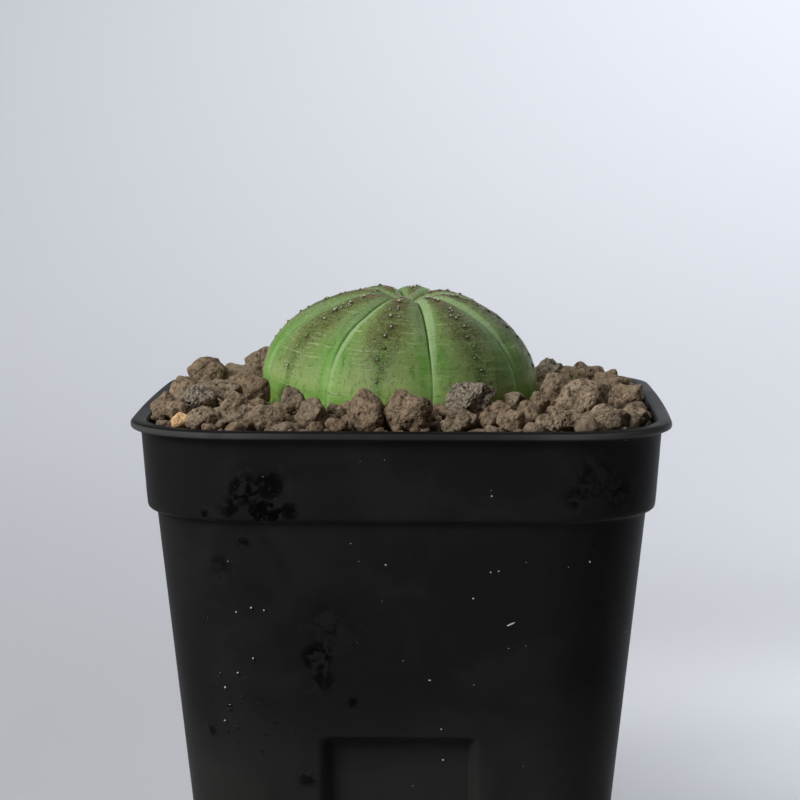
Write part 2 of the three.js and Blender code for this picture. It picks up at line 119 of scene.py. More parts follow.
DRAIN_LENGTH = 11.0
SHARP_FROM = math.radians(50)


def rounded_square(alongs, corner_steps):
    """The plan outline for a half width of 1; `alongs` are the places along a side, -1 to 1."""
    straight = 1.0 - CORNER_RATIO
    side = [(straight * a, -1.0 - SIDE_BULGE * (1.0 - a * a)) for a in alongs]
    for i in range(corner_steps):
        angle = (i / corner_steps - 1.0) * math.pi / 2
        side.append((
            straight + CORNER_RATIO * math.cos(angle),
            -straight + CORNER_RATIO * math.sin(angle),
        ))
    side = np.array(side)
    sides = [side]
    for _ in range(3):
        x, y = sides[-1].T
        sides.append(np.stack([-y, x], axis=1))
    return np.concatenate(sides)


def square_lathe(profile, outline):
    """Points and faces of a rounded square turned part. The profile goes from axis to axis."""
    count = len(outline)
    rings = [np.column_stack([half * outline, np.full(count, z)]) for half, z in profile[1:-1]]
    first, last = ([(0.0, 0.0, profile[end][1])] for end in (0, -1))
    points = np.concatenate([first, *rings, last])
    faces = []
    for j in range(count):
        k = (j + 1) % count
        faces.append((0, 1 + k, 1 + j))
        for i in range(len(rings) - 1):
            low, high = 1 + i * count, 1 + (i + 1) * count
            faces.append((low + j, low + k, high + k, high + j))
        top = 1 + (len(rings) - 1) * count
        faces.append((top + j, top + k, len(points) - 1))
    return points, faces


def mesh_piece(name, points, faces):
    """A piece whose points are given in millimetres."""
    mesh = bpy.data.meshes.new(name)
    mesh.from_pydata((np.asarray(points) * MM).tolist(), [], faces)
    mesh.update()
    return put(name, mesh)


def plain_mesh(piece, name):
    """The piece as its modifiers leave it, as a new object with no modifiers."""
    ready = piece.evaluated_get(bpy.context.evaluated_depsgraph_get())
    mesh = bpy.data.meshes.new_from_object(ready)
    mesh.name = name
    bpy.data.objects.remove(piece)
    return put(name, mesh)


def ease(t):
    """0 up to 0 and 1 from 1 on, with a soft start and end between them."""
    t = np.clip(t, 0.0, 1.0)
    return t * t * (3.0 - 2.0 * t)


def body_half(z):
    """The half width of the outside below the collar."""
    return BASE_HALF + (BODY_TOP_HALF - BASE_HALF) * z / BODY_TOP_Z


def sink_panels(points, inner):
    """Presses the four panels into the wall; `inner` marks the points of its inner face."""
    grow = np.where(inner, WALL, 0.0)
    plane = -(body_half(points[:, 2]) - PANEL_DEPTH - grow)
    under_top = PANEL_TOP + PANEL_TOP_SLOPE / 2 + grow - points[:, 2]
    down = np.clip(under_top / PANEL_TOP_SLOPE, 0, 1) ** PANEL_SHOULDER
    spread = body_half(PANEL_TOP) / body_half(np.minimum(points[:, 2], PANEL_TOP))
    for _ in range(4):
        x, y = points[:, 0].copy(), points[:, 1].copy()
        near_middle = ease((0.55 * -y - np.abs(x)) / (0.12 * np.abs(y) + 1e-6)) * (y < 0)
        x *= 1 + (spread - 1) * near_middle  # upright columns beside the panel
        from_edge = PANEL_MOUTH_HALF + 0.7 * grow - np.abs(x)
        across = from_edge / (PANEL_MOUTH_HALF - PANEL_FACE_HALF)
        across = np.clip(across, 0, 1) ** PANEL_SHOULDER
        sunk = np.where(y < plane, y + (plane - y) * across * down, y)
        points[:, 0], points[:, 1] = -sunk, x  # the next face comes round to the front


panel_level = (1 - CORNER_RATIO) * body_half(PANEL_TOP)
face_edge = PANEL_FACE_HALF / panel_level
mouth_edge = PANEL_MOUTH_HALF / panel_level
pot_halves = [
    0, 0.13, 0.26, 0.38, 0.46, face_edge - 0.03, face_edge - 0.01,
    *np.linspace(face_edge, mouth_edge, 9), 0.63, 0.66, 0.70, 0.77, 0.84, 0.92,
]
pot_outline = rounded_square([-1, *(-np.array(pot_halves[:0:-1])), *pot_halves], 14)


def wall_rows(heights, inward=0.0):
    return [(body_half(z) - inward, z) for z in heights]


def collar_rows(heights, side):
    return [(np.interp(z, *zip(*side)), z) for z in heights]


outer_profile = [
    *((half, FOOT_HOLLOW_HEIGHT) for half in (0, 8, 16, 22, 25.6)),
    (25.95, 1.5), (26.5, 0.25), (26.75, 0.03),
    *((half, 0.0) for half in (27.1, 29.0, 31.0, 32.6)),
    (33.1, 0.06), (33.42, 0.3),
    *wall_rows(np.linspace(0.8, 32.6, 15)),
    *wall_rows((34.0, 34.8, *np.linspace(35.3, 36.9, 11), 37.4)),
    *wall_rows(np.linspace(39.0, 72.0, 10)),
    (40.95, 72.4), (41.02, 72.64), (41.22, 72.82), (41.62, 72.95), (42.04, 73.08),
    (42.3, 73.32), (42.44, 73.68), (42.5, 74.2),
    *collar_rows(np.linspace(75.4, 85.6, 6), COLLAR_OUTSIDE),
    (43.42, 86.15), (43.5, 86.42), (43.7, 86.57), (44.3, 86.62), (44.72, 86.68),
    (44.92, 86.84), (RIM_HALF, 87.1), (RIM_HALF, 87.45), (44.94, 87.72), (44.78, 87.91),
    (44.5, 88.0), (43.8, 88.0), (43.1, 87.97),
]
inner_profile = [
    (42.72, 87.86), (42.48, 87.62), (42.4, 87.25),
    *collar_rows(np.linspace(86.4, 74.0, 6), COLLAR_INSIDE),
    (41.3, 73.3), (40.9, 73.0), (40.1, 72.8), (39.9, 72.4),
    *wall_rows(np.linspace(71.0, 39.0, 8), WALL),
    *wall_rows(np.linspace(38.2, 34.2, 9), WALL),
    *wall_rows(np.linspace(32.6, FLOOR_TOP, 10), WALL),
    *((half, FLOOR_TOP) for half in (29.0, 22.0, 14.0, 6.0, 0)),
]
pot_points, pot_faces = square_lathe(outer_profile + inner_profile, pot_outline)
inner_from = 1 + (len(outer_profile) - 1) * len(pot_outline)
sink_panels(pot_points, np.arange(len(pot_points)) >= inner_from)
moulding = mesh_piece("moulding", pot_points, pot_faces)


def drain_cutter(length, reach, way):
    """A round-ended bar that cuts one drain slot, lying across the way out from the middle."""
    radius = DRAIN_WIDTH / 2
    half = length / 2 - radius
    rim = [
        (at + radius * math.cos(start + step), radius * math.sin(start + step))
        for at, start in ((half, -math.pi / 2), (-half, math.pi / 2))
        for step in (k * math.pi / 10 for k in range(11))
    ]
    turn = way + math.pi / 2
    turning = np.array([
        [math.cos(turn), math.sin(turn)],
        [-math.sin(turn), math.cos(turn)],
    ])
    flat = np.array(rim) @ turning + (reach * math.cos(way), reach * math.sin(way))
    count = len(flat)
    points = [(px, py, z) for z in (-2.0, FLOOR_TOP + 2.0) for px, py in flat]
    faces = [tuple(range(count))[::-1], tuple(range(count, 2 * count))]
    faces += [(j, (j + 1) % count, count + (j + 1) % count, count + j) for j in range(count)]
    return points, faces


cutter_points, cutter_faces = [], []
for face in (k * math.pi / 2 for k in range(4)):
    for slot in (
        (DRAIN_LENGTH, 0.86 * FOOT_HOLLOW_HALF, face + math.pi / 4),
        (0.8 * DRAIN_LENGTH, 0.68 * FOOT_HOLLOW_HALF, face),
    ):
        points, faces = drain_cutter(*slot)
        cutter_faces += [tuple(len(cutter_points) + i for i in f) for f in faces]
        cutter_points += points
cutters = mesh_piece("drain_cutters", cutter_points, cutter_faces)
slots = moulding.modifiers.new("drain_slots", "BOOLEAN")
slots.operation = "DIFFERENCE"
slots.solver = "EXACT"
slots.object = cutters
nursery_pot = plain_mesh(moulding, "nursery_pot")
bpy.data.objects.remove(cutters)
nursery_pot.data.shade_smooth()
nursery_pot.data.set_sharp_from_angle(angle=SHARP_FROM)


class Wire:
    """A value in a node tree; arithmetic on it adds Math nodes."""

    def __init__(self, tree, socket):
        self.tree = tree
        self.socket = socket

    def math(self, operation, *others):
        inputs = dict(enumerate((self, *others)))
        return add_node(self.tree, "ShaderNodeMath", inputs, operation=operation)

    __add__ = partialmethod(math, "ADD")
    __sub__ = partialmethod(math, "SUBTRACT")
    __mul__ = partialmethod(math, "MULTIPLY")
    __truediv__ = partialmethod(math, "DIVIDE")
    __pow__ = partialmethod(math, "POWER")
    __abs__ = partialmethod(math, "ABSOLUTE")

    def __rsub__(self, other):
        return self * -1.0 + other

    def bell(self):
        """1 at 0, falling off smoothly on either side."""
        return (self**2.0 * -1.0).math("EXPONENT")

    def ramp(self, low, high, to_low=0.0, to_high=1.0):
        """Eased from `to_low` at `low` to `to_high` at `high`."""
        inputs = dict(enumerate((self, low, high, to_low, to_high)))
        eased = {"interpolation_type": "SMOOTHSTEP"}
        return add_node(self.tree, "ShaderNodeMapRange", inputs, **eased)


def add_node(tree, kind, inputs=None, out=0, **settings):
    """Adds a node with its settings and inputs, and gives the output numbered or named `out`."""
    node = tree.nodes.new(kind)
    for name, value in settings.items():
        setattr(node, name, value)
    for name, value in (inputs or {}).items():
        if isinstance(value, Wire):
            tree.links.new(value.socket, node.inputs[name])
        else:
            node.inputs[name].default_value = value
    return Wire(tree, node.outputs[out])


def new_finish(name, **values):
    """A material with its Principled shader, and the values that are the same all over it."""
    material = bpy.data.materials.new(name)
    material.use_nodes = True
    shader = material.node_tree.nodes["Principled BSDF"]
    for socket, value in values.items():
        shader.inputs[socket.replace("_", " ")].default_value = value
    return material, material.node_tree, shader


def mix_colour(share, low, high):
    """From `low` where the share is 0 to `high` where it is 1."""
    low, high = (c if isinstance(c, Wire) else (*c, 1.0) for c in (low, high))
    inputs = {"Factor": share, 6: low, 7: high}
    return add_node(share.tree, "ShaderNodeMix", inputs, 2, data_type="RGBA")


def paint(tone, *coats):
    """A colour with coats of others laid over it one by one, each as far as its share."""
    for share, colour in coats:
        tone = mix_colour(share, tone, colour)
    return tone


def object_at(tree):
    return add_node(tree, "ShaderNodeTexCoord", out="Object")


def parts(at):
    """The x, y and z of a place."""
    split = add_node(at.tree, "ShaderNodeSeparateXYZ", {0: at})
    return [Wire(at.tree, output) for output in split.socket.node.outputs]


def noise(at, scale, detail=3.0, rough=0.5, distort=0.0):
    names = ("Vector", "Scale", "Detail", "Roughness", "Distortion")
    inputs = dict(zip(names, (at, scale, detail, rough, distort)))
    return add_node(at.tree, "ShaderNodeTexNoise", inputs)


def bump(height, strength, distance):
    inputs = {"Height": height, "Strength": strength, "Distance": distance}
    return add_node(height.tree, "ShaderNodeBump", inputs)


def connect(node, **wires):
    for socket, wire in wires.items():
        wire.tree.links.new(wire.socket, node.inputs[socket.replace("_", " ")])


# Where water has run or dried on the wall: x, y, z of the middle, the reach and how dark it is.
SMEARS = [
    (-24.8, -42.8, 78.2, 5.2, 0.74),
    (-20.8, -43.0, 79.0, 4.8, 0.74),
    (-22.4, -42.7, 75.0, 3.4, 0.86),
    (-20.2, -42.7, 74.6, 2.6, 0.90),
    (-17.6, -42.8, 74.8, 3.0, 0.74),
    (-27.2, -42.4, 75.4, 3.4, 0.72),
    (-31.5, -41.2, 74.2, 1.4, 0.75),
    (-25.2, -40.6, 69.2, 1.8, 0.72),
    (-22.2, -40.5, 67.5, 4.5, 0.20),
    (-29.5, -39.8, 65.5, 4.6, 0.54),
    (-11.4, -39.5, 55.6, 8.0, 0.46),
    (-13.4, -38.9, 50.2, 5.2, 0.72),
    (-12.4, -38.5, 46.3, 4.6, 0.60),
    (-7.6, -38.2, 42.5, 2.0, 0.72),
    (-15.1, -36.7, 29.1, 3.8, 0.60),
    (-31.2, -34.2, 36.5, 2.6, 0.65),
    (31.7, -41.7, 80.2, 7.0, 0.56),
    (28.6, -42.4, 77.0, 4.4, 0.58),
    (35.4, -39.5, 77.6, 6.0, 0.56),
    (31.0, -39.1, 68.9, 3.0, 0.40),
    (-41.0, 12.0, 60.0, 9.0, 0.5),
    (40.0, -14.0, 40.0, 7.0, 0.5),
    (10.0, 41.0, 66.0, 8.0, 0.5),
]
PLASTIC_BLACK = (0.0128, 0.0127, 0.0125)
PLASTIC_WORN = (0.0190, 0.0186, 0.0182)
PLASTIC_SCUFF_AND_HIGHLIGHT = (0.085, 0.083, 0.080)
PLASTIC_PALE_LOW = (0.0270, 0.0260, 0.0245)
PLASTIC_WET = (0.0008, 0.0008, 0.0008)
DRIED_SPLASH = (0.055, 0.052, 0.047)

moulded, tree, shader = new_finish("black_moulded_plastic", Specular_IOR_Level=0.03)
at = object_at(tree)
cloudy = noise(at, 55, 4, 0.6, 0.6)
fine = noise(at, 1900, 2, 0.6)
dabs = noise(at, 500, 2, 0.5, 0.9)
reached = noise(at, 26, 1).ramp(0.70, 0.76) * 0.4
for *middle, reach, depth in SMEARS:
    ends = {0: at, 1: Vector(middle) * MM}
    from_middle = add_node(tree, "ShaderNodeVectorMath", ends, "Value", operation="DISTANCE")
    ragged = from_middle + (dabs - 0.5) * 0.006
    reached = reached.math("MAXIMUM", ragged.ramp(reach * MM, 0.3 * reach * MM, 0, depth))
wet = (reached + (dabs - 0.5) * 1.8).ramp(0.42, 0.74) * reached.ramp(0.0, 0.95)
dried = dabs.ramp(0.50, 0.42) * reached.ramp(0.1, 0.6)
x, y, z = parts(at)
corners = (x * x + y * y).math("SQRT").ramp(0.046, 0.054, 0.42, 1.0)
# Scuffs along the rim's edge, most at the corners, and the same lighter colour all along it as a
# painted highlight.
rim_scuff_and_highlight = z.ramp(0.0867, 0.0870) * z.ramp(0.0879, 0.0876)
rim_scuff_and_highlight = rim_scuff_and_highlight * corners * cloudy.ramp(0.4, 0.6, 0.7, 1.0)  # most at the corners
tone = paint(
    PLASTIC_BLACK,
    (cloudy.ramp(0.42, 0.72), PLASTIC_WORN),
    # Paler in clouds towards the foot.
    (z.ramp(0.046, 0.026) * cloudy.ramp(0.25, 0.60, 0.5, 1.0), PLASTIC_PALE_LOW),
    (rim_scuff_and_highlight, PLASTIC_SCUFF_AND_HIGHLIGHT),
    (z.ramp(0.08782, 0.08795) * 0.6, PLASTIC_WET),
    (dried * 0.15, DRIED_SPLASH),
    (wet.math("MAXIMUM", reached * 0.3), PLASTIC_WET),
)
satin = cloudy.ramp(0.3, 0.7, 0.36, 0.44) + fine * 0.06
connect(
    shader,
    Base_Color=tone,
    Roughness=satin - wet * 0.12 - rim_scuff_and_highlight * 0.06,
    Normal=bump(fine * 0.8 + wet * 0.5, 0.12, 0.0001),
)
nursery_pot.data.materials.clear()
nursery_pot.data.materials.append(moulded)
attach(nursery_pot, "root")
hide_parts("pot")


# ---------- What clings to the pot ----------
# Small drops of water left from misting, and pale specks of pumice dust, six of which sit on
# drops as painted glints. They sit on the outside of the wall, most of the drops low on the
# front.


def node_group(name, kind, outputs, inputs):
    """A node group, and its input wires by name; sockets are names with the type of each."""
    group = bpy.data.node_groups.new(name, kind)
    for in_out, sockets in (("OUTPUT", outputs), ("INPUT", inputs)):
        for socket, socket_kind in sockets.items():
            socket_type = "NodeSocket" + socket_kind
            group.interface.new_socket(socket, in_out=in_out, socket_type=socket_type)
    start = group.nodes.new("NodeGroupInput")
    return group, {s.name: Wire(group, s) for s in start.outputs if s.name}


def node_tree(name, **values):
    """A Geometry Nodes tree with an input for each value, or for each kind given by name."""
    kinds = {float: "Float", int: "Int"}
    inputs = {"Geometry": "Geometry"}
    for socket, value in values.items():
        inputs[socket] = kinds.get(type(value), value)
    return node_group(name, "GeometryNodeTree", {"Geometry": "Geometry"}, inputs)


def then(geometry, step, **inputs):
    """What the next node of a tree makes of a geometry."""
    inputs = {"Geometry": geometry} | inputs
    return add_node(geometry.tree, "GeometryNode" + step, inputs)


def end_tree(geometry, finish):
    """Ends a tree in Realize Instances and Set Material."""
    smooth = then(then(geometry, "RealizeInstances"), "SetShadeSmooth")
    dressed = then(smooth, "SetMaterial", Material=finish)
    connect(geometry.tree.nodes.new("NodeGroupOutput"), Geometry=dressed)


def grown(piece, name, tree, **values):
    """The piece after a Geometry Nodes tree, as a plain mesh object."""
    modifier = piece.modifiers.new(tree.name, "NODES")
    modifier.node_group = tree
    for item in tree.interface.items_tree:
        if item.in_out == "INPUT" and item.name in values:
            modifier[item.identifier] = values[item.name]
    return plain_mesh(piece, name)


def draw_from(seed):
    """A function that draws numbers from 0 to 1, the same ones on every run."""
    state = seed * 2654435761 % 2**32

    def draw():
        nonlocal state
        state = (state * 1664525 + 1013904223) % 2**32
        return state / 2**32

    draw()
    return draw


def mark(piece, **marks):
    """Gives the points of a piece values of their own, for a tree or a material to read."""
    for name, values in marks.items():
        values = np.asarray(values)
        kind = "INT" if values.dtype.kind == "i" else "FLOAT"
        field = "value"
        if values.ndim == 2:
            kind, field = "FLOAT_VECTOR", "vector"
        layer = piece.data.attributes.new(name, kind, "POINT")
        layer.data.foreach_set(field, values.ravel())


def point_cloud(name, places, **marks):
    cloud = mesh_piece(name, places, [])
    mark(cloud, **marks)
    return cloud


def named(tree, name, kind="FLOAT"):
    return add_node(tree, "GeometryNodeInputNamedAttribute", {"Name": name}, data_type=kind)


def copies(points, shape, way, size, **picked):
    inputs = {"Points": points, "Instance": shape, "Rotation": way, "Scale": size}
    return add_node(points.tree, "GeometryNodeInstanceOnPoints", inputs | picked)


def turned_copies(points, shape, **picked):
    """Copies turned and stretched as the points' own attributes say."""
    turn, semi = (named(points.tree, name, "FLOAT_VECTOR") for name in ("turn", "semi"))
    way = add_node(points.tree, "FunctionNodeEulerToRotation", {0: turn})
    return copies(points, shape, way, semi, **picked)


def ball(tree, rounds):
    inputs = {"Radius": 1.0, "Subdivisions": rounds}
    return add_node(tree, "GeometryNodeMeshIcoSphere", inputs)


beads_tree, given = node_tree("beads", Rounds="Int", Stuff="Material")
bead = ball(beads_tree, given["Rounds"])
end_tree(turned_copies(given["Geometry"], bead), given["Stuff"])


COLLAR_TAPER = 0.07
LEDGE_TOP = 74.5
EDGE_ROOM = 1.0
PANEL_TOP_ROOM = 1.5
FACE_SPECKS = 26
WATER_DARK = (0.002, 0.002, 0.002)
WATER_LIGHT = (0.009, 0.009, 0.009)
SPECK_AND_GLINT_DARK = (0.46, 0.44, 0.40)
SPECK_AND_GLINT_LIGHT = (0.80, 0.78, 0.73)


def on_wall(x, z, face):
    """A point of the outside wall, and the turn and lean that stand a bead up on it."""
    half = body_half(z)
    if z >= BODY_TOP_Z:
        half = COLLAR_BASE_HALF + COLLAR_TAPER * (z - COLLAR_FOOT_Z)
    straight, corner = (1 - CORNER_RATIO) * half, CORNER_RATIO * half
    rounding = math.asin(max(0.0, (abs(x) - straight) / corner))
    bulge = SIDE_BULGE * max(0.0, 1 - (x / straight) ** 2)
    out = half * (1 + bulge) - corner * (1 - math.cos(rounding))
    if z < PANEL_TOP and abs(x) < PANEL_FACE_HALF:
        out = half - PANEL_DEPTH
    about = face * math.pi / 2
    lean = math.atan((BODY_TOP_HALF - BASE_HALF) / BODY_TOP_Z)
    place = Matrix.Rotation(about, 3, "Z") @ Vector((x, -out, z))
    return tuple(place), about + math.copysign(rounding, x), lean


def on_smooth_wall(bead):
    """Whether a bead is clear of the ledge and of the edges of the panels."""
    x, z = abs(bead[0]), bead[1]
    beside_panel = x > PANEL_MOUTH_HALF + EDGE_ROOM or z > PANEL_TOP + PANEL_TOP_ROOM
    on_panel = x < PANEL_FACE_HALF - EDGE_ROOM and z < PANEL_TOP - PANEL_TOP_ROOM
    return (beside_panel or on_panel) and not BODY_TOP_Z - EDGE_ROOM < z < LEDGE_TOP


def turned(**turns):
    """Turns about axes, done from last to first, as the angles about X, Y and Z."""
    whole = Matrix.Identity(3)
    for axis, angle in turns.items():
        whole = whole @ Matrix.Rotation(angle, 3, axis)
    return tuple(whole.to_euler("XYZ"))


def stick(name, beads, rounds, stuff, thickness):
    """Beads given by x, z, face of the pot, half width, half height and slant."""
    places, turns, semis = [], [], []
    for x, z, face, half_width, half_height, slant in beads:
        place, about, lean = on_wall(x, z, face)
        places.append(place)
        turns.append(turned(Z=about, X=-lean, Y=slant))
        semis.append((half_width, thickness * min(half_width, half_height), half_height))
    cloud = point_cloud(name + "_points", places, turn=turns, semi=np.array(semis) * MM)
    piece = grown(cloud, name, beads_tree, Rounds=rounds, Stuff=stuff)
    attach(piece, "root")
    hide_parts("pot")


draw = draw_from(31)
# The largest drops, each x, z, half width and half height, then finer ones by chance.
front_drops = [
    (-24.0, 58.1, 0.34, 0.36),
    (-21.9, 57.8, 0.32, 0.30),
    (-23.8, 49.5, 0.30, 0.36),
    (-26.4, 46.9, 0.36, 0.34),
    (-25.2, 46.3, 0.24, 0.24),
    (-28.6, 44.2, 0.34, 0.38),
    (-28.7, 38.4, 0.42, 0.44),
    (-28.0, 41.1, 0.58, 0.62),
    (-29.6, 46.6, 0.42, 0.42),
    (-31.3, 42.4, 0.34, 0.32),
    (-25.9, 43.0, 0.28, 0.26),
    (-23.3, 41.8, 0.22, 0.24),
]
drops = [(x, z, 0, width, height, 0.0) for x, z, width, height in front_drops]
for middle_x, middle_z, spread_x, spread_z, face, count in (
    (-27.0, 45.0, 6.0, 12.0, 0, 22),
    (-18.0, 38.0, 4.0, 4.0, 0, 10),
    (26.0, 60.0, 8.0, 16.0, 0, 9),
    (-12.0, 48.0, 14.0, 20.0, 3, 22),
    (8.0, 40.0, 14.0, 18.0, 1, 18),
    (-4.0, 50.0, 18.0, 18.0, 2, 20),
):
    for _ in range(count):
        x = middle_x + spread_x * (2 * draw() - 1)
        z = middle_z + spread_z * (2 * draw() - 1)
        size = 0.10 + 0.22 * draw() ** 2
        drops.append((x, z, face, size, size * (1 + 0.3 * draw()), 0.0))
# A drop on black plastic shows the black through it, so it is dark and glossy.
water, tree, shader = new_finish("water_on_black", IOR=1.333, Roughness=0.08)
at = object_at(tree)
ripple = noise(at, 900, 1)
tone = mix_colour(ripple, WATER_DARK, WATER_LIGHT)
connect(shader, Base_Color=tone, Normal=bump(ripple, 0.05, 0.0001))
stick("water_drops", filter(on_smooth_wall, drops), 3, water, 0.30)

# The specks on the front, with the slant of each, then finer ones scattered over every face;
# those that sit on drops are painted glints.
front_specks_and_glints = [
    (18.3, 55.9, 0.85, 0.13, -0.45),
    (31.0, 66.1, 0.17, 0.16, 0.0),
    (5.1, 46.3, 0.13, 0.12, 0.0),
    # These six sit just above drops: painted glints, drawn as pale specks.
    (-24.1, 58.4, 0.16, 0.16, 0.0),
    (-22.0, 58.0, 0.14, 0.15, 0.0),
    (-23.9, 49.8, 0.16, 0.16, 0.0),
    (-26.5, 47.2, 0.15, 0.15, 0.0),
    (-28.7, 44.5, 0.16, 0.17, 0.0),
    (-28.9, 38.7, 0.15, 0.15, 0.0),
    (12.1, 60.2, 0.17, 0.15, 0.3),
    (14.9, 64.6, 0.13, 0.13, 0.0),
    (16.2, 64.8, 0.14, 0.12, 0.0),
    (-2.1, 65.8, 0.15, 0.13, 0.0),
    (36.5, 86.2, 0.15, 0.13, 0.0),
    (-26.6, 57.6, 0.15, 0.14, 0.2),
    (7.2, 31.9, 0.17, 0.16, 0.0),
    (6.9, 37.9, 0.12, 0.11, 0.0),
    (15.0, 77.5, 0.14, 0.13, 0.0),
    (4.9, 46.3, 0.11, 0.11, 0.0),
]
specks = [(x, z, 0, width, height, slant) for x, z, width, height, slant in front_specks_and_glints]
for face in range(4):
    for _ in range(FACE_SPECKS):
        size = 0.04 + 0.05 * draw()
        specks.append((60 * (draw() - 0.5), 8 + 76 * draw(), face, size, size * 0.9, draw()))
pumice, tree, shader = new_finish("pumice_dust_and_glints", Roughness=0.9)
at = object_at(tree)
powder = noise(at, 4000, 2)
tone = mix_colour(powder, SPECK_AND_GLINT_DARK, SPECK_AND_GLINT_LIGHT)
connect(shader, Base_Color=tone, Normal=bump(powder, 0.4, 0.0001))
stick("pumice_specks", filter(on_smooth_wall, specks), 2, pumice, 0.65)


# ---------- The plant ----------
# One grown body: a flattened globe of eight broad ribs with narrow grooves, half sunk in the
# grit and leaning a little, on a taproot. Waxy green skin, greener towards the grooves and
# olive with fine brown specks along the ridges.

RIBS = 8
GLOBE_RADIUS = 24.2
GLOBE_RISE = 16.9
GLOBE_DROP = 16.0
CROWN_DIMPLE = 2.8
CROWN_DIMPLE_RADIUS = 4.8
CROWN_SHIFT = (0.9, -0.7)  # the crown is off centre, to the right and the front
VALLEY = 0.55
VALLEY_POWER = 3.0
CROWN_DEEPENING = 1.0
RIB_TURN = math.radians(-7.5)
LOWEST_LATITUDE = math.radians(-64)
COLUMN_BUNCHING = 1.6
TAPROOT_RADIUS = 7.0
TAPROOT_TIP_RADIUS = 1.2
TAPROOT_LENGTH = 34.0
PLANT_AT = Vector((-0.9, 0.0, POT_HEIGHT + 3.4))
LEAN_RIGHT = math.radians(2.7)
LEAN_FORWARD = math.radians(4.5)
plant_place = (
    Matrix.Translation(PLANT_AT * MM)
    @ Matrix.Rotation(LEAN_FORWARD, 4, "X")
    @ Matrix.Rotation(LEAN_RIGHT, 4, "Y")
)
GLOBE = {
    "Ribs": float(RIBS),
    "Columns": RIBS * 46 + 1,
    "Rings": 170,
    "Radius": GLOBE_RADIUS * MM,
    "Rise": GLOBE_RISE * MM,
    "Drop": GLOBE_DROP * MM,
    "Valley": VALLEY * MM,
    "Valley_Power": VALLEY_POWER,
    "Crown_Deepening": CROWN_DEEPENING,
    "Crease": 0.36 * MM,
    "Crease_Width": 0.16 * MM,
    "Dimple": CROWN_DIMPLE * MM,
    "Dimple_Radius": CROWN_DIMPLE_RADIUS * MM,
    "Shift_X": CROWN_SHIFT[0] * MM,
    "Shift_Y": CROWN_SHIFT[1] * MM,
    "Turn": RIB_TURN,
    "Lowest": LOWEST_LATITUDE,
    "Swell": 0.45 * MM,
}


def vector(x, y, z):
    return add_node(x.tree, "ShaderNodeCombineXYZ", {0: x, 1: y, 2: z})


def store(geometry, **marks):
    """Keeps values at the points, for a material to read."""
    for name, value in marks.items():
        geometry = then(geometry, "StoreNamedAttribute", Name=name, Value=value)
    return geometry


globe_tree, given = node_tree("ribbed_globe", **GLOBE, Skin="Material")
tree = globe_tree
grid = {"Size X": 1.0, "Size Y": 1.0}
grid |= {"Vertices X": given["Columns"], "Vertices Y": given["Rings"]}
sheet = add_node(tree, "GeometryNodeMeshGrid", grid)
across, up, _ = parts(add_node(tree, "GeometryNodeInputPosition"))
up = up + 0.5

# Across each rib: even steps bunched towards the grooves. `aside` is -1 and 1 in the grooves.
around = (across + 0.5) * given["Ribs"]
rib = (around + 0.00001).math("FLOOR")
even = (around - rib) * 2.0 - 1.0
nearness = (1.0 - abs(even)).math("MAXIMUM", 0.0) ** COLUMN_BUNCHING
groove = (1.0 - nearness).math("MINIMUM", 1.0)
aside = groove * even.math("SIGN")
turn = (rib + aside * 0.5) / given["Ribs"] * (2 * math.pi) + given["Turn"]

# Up the globe, from the taproot to the dimple at the crown.
latitude = up.math("MULTIPLY_ADD", given["Lowest"] * -1.0 + math.pi / 2, given["Lowest"])
cosine = latitude.math("COSINE")
sine = latitude.math("SINE")
above = latitude.math("GREATER_THAN", 0.0)
reach = given["Radius"] * cosine
semi = given["Drop"] + (given["Rise"] - given["Drop"]) * above
near_axis = (reach / given["Dimple_Radius"]).bell()
height = semi * sine - given["Dimple"] * near_axis * above

# Inward: the valley between two ribs, the crease along its bottom and a slight unevenness.
edge = (1.0 - groove) * reach / given["Ribs"] * math.pi
crease = (edge / given["Crease_Width"]).bell()
deepening = latitude.ramp(0.6, 1.1) * given["Crown_Deepening"] + 1.0
valley = given["Valley"] * groove ** given["Valley_Power"] * deepening
taper = (reach / 0.003).math("MINIMUM", 1.0) * latitude.ramp(-1.2, -0.5)
wave_at = vector(
    turn.math("SINE") * cosine * 2.2, turn.math("COSINE") * cosine * 2.2, latitude * 5.0
)
swell = (noise(wave_at, 1.6, 3.0, 0.55) - 0.5) * given["Swell"]
crease = crease * given["Crease"] * latitude.ramp(0.25, 0.75, 0.12, 1.0)
inward = (valley + crease) * taper - swell * (reach / 0.004).math("MINIMUM", 1.0)
outward = (reach - inward * cosine) * up.math("GREATER_THAN", 0.0001)
crownwards = latitude.ramp(0.5, 1.3)
place = vector(
    outward * turn.math("SINE") + crownwards * given["Shift_X"],
    outward * turn.math("COSINE") * -1.0 + crownwards * given["Shift_Y"],
    height - inward * sine,
)
marks = {"aside": aside, "latitude": latitude, "turn": turn, "rib": rib}
shaped = then(store(sheet, **marks), "SetPosition", Position=place)
both = then(then(shaped, "MergeByDistance", Distance=0.000002), "JoinGeometry")
tree.links.new(given["Geometry"].socket, both.socket.node.inputs["Geometry"])
end_tree(both, given["Skin"])

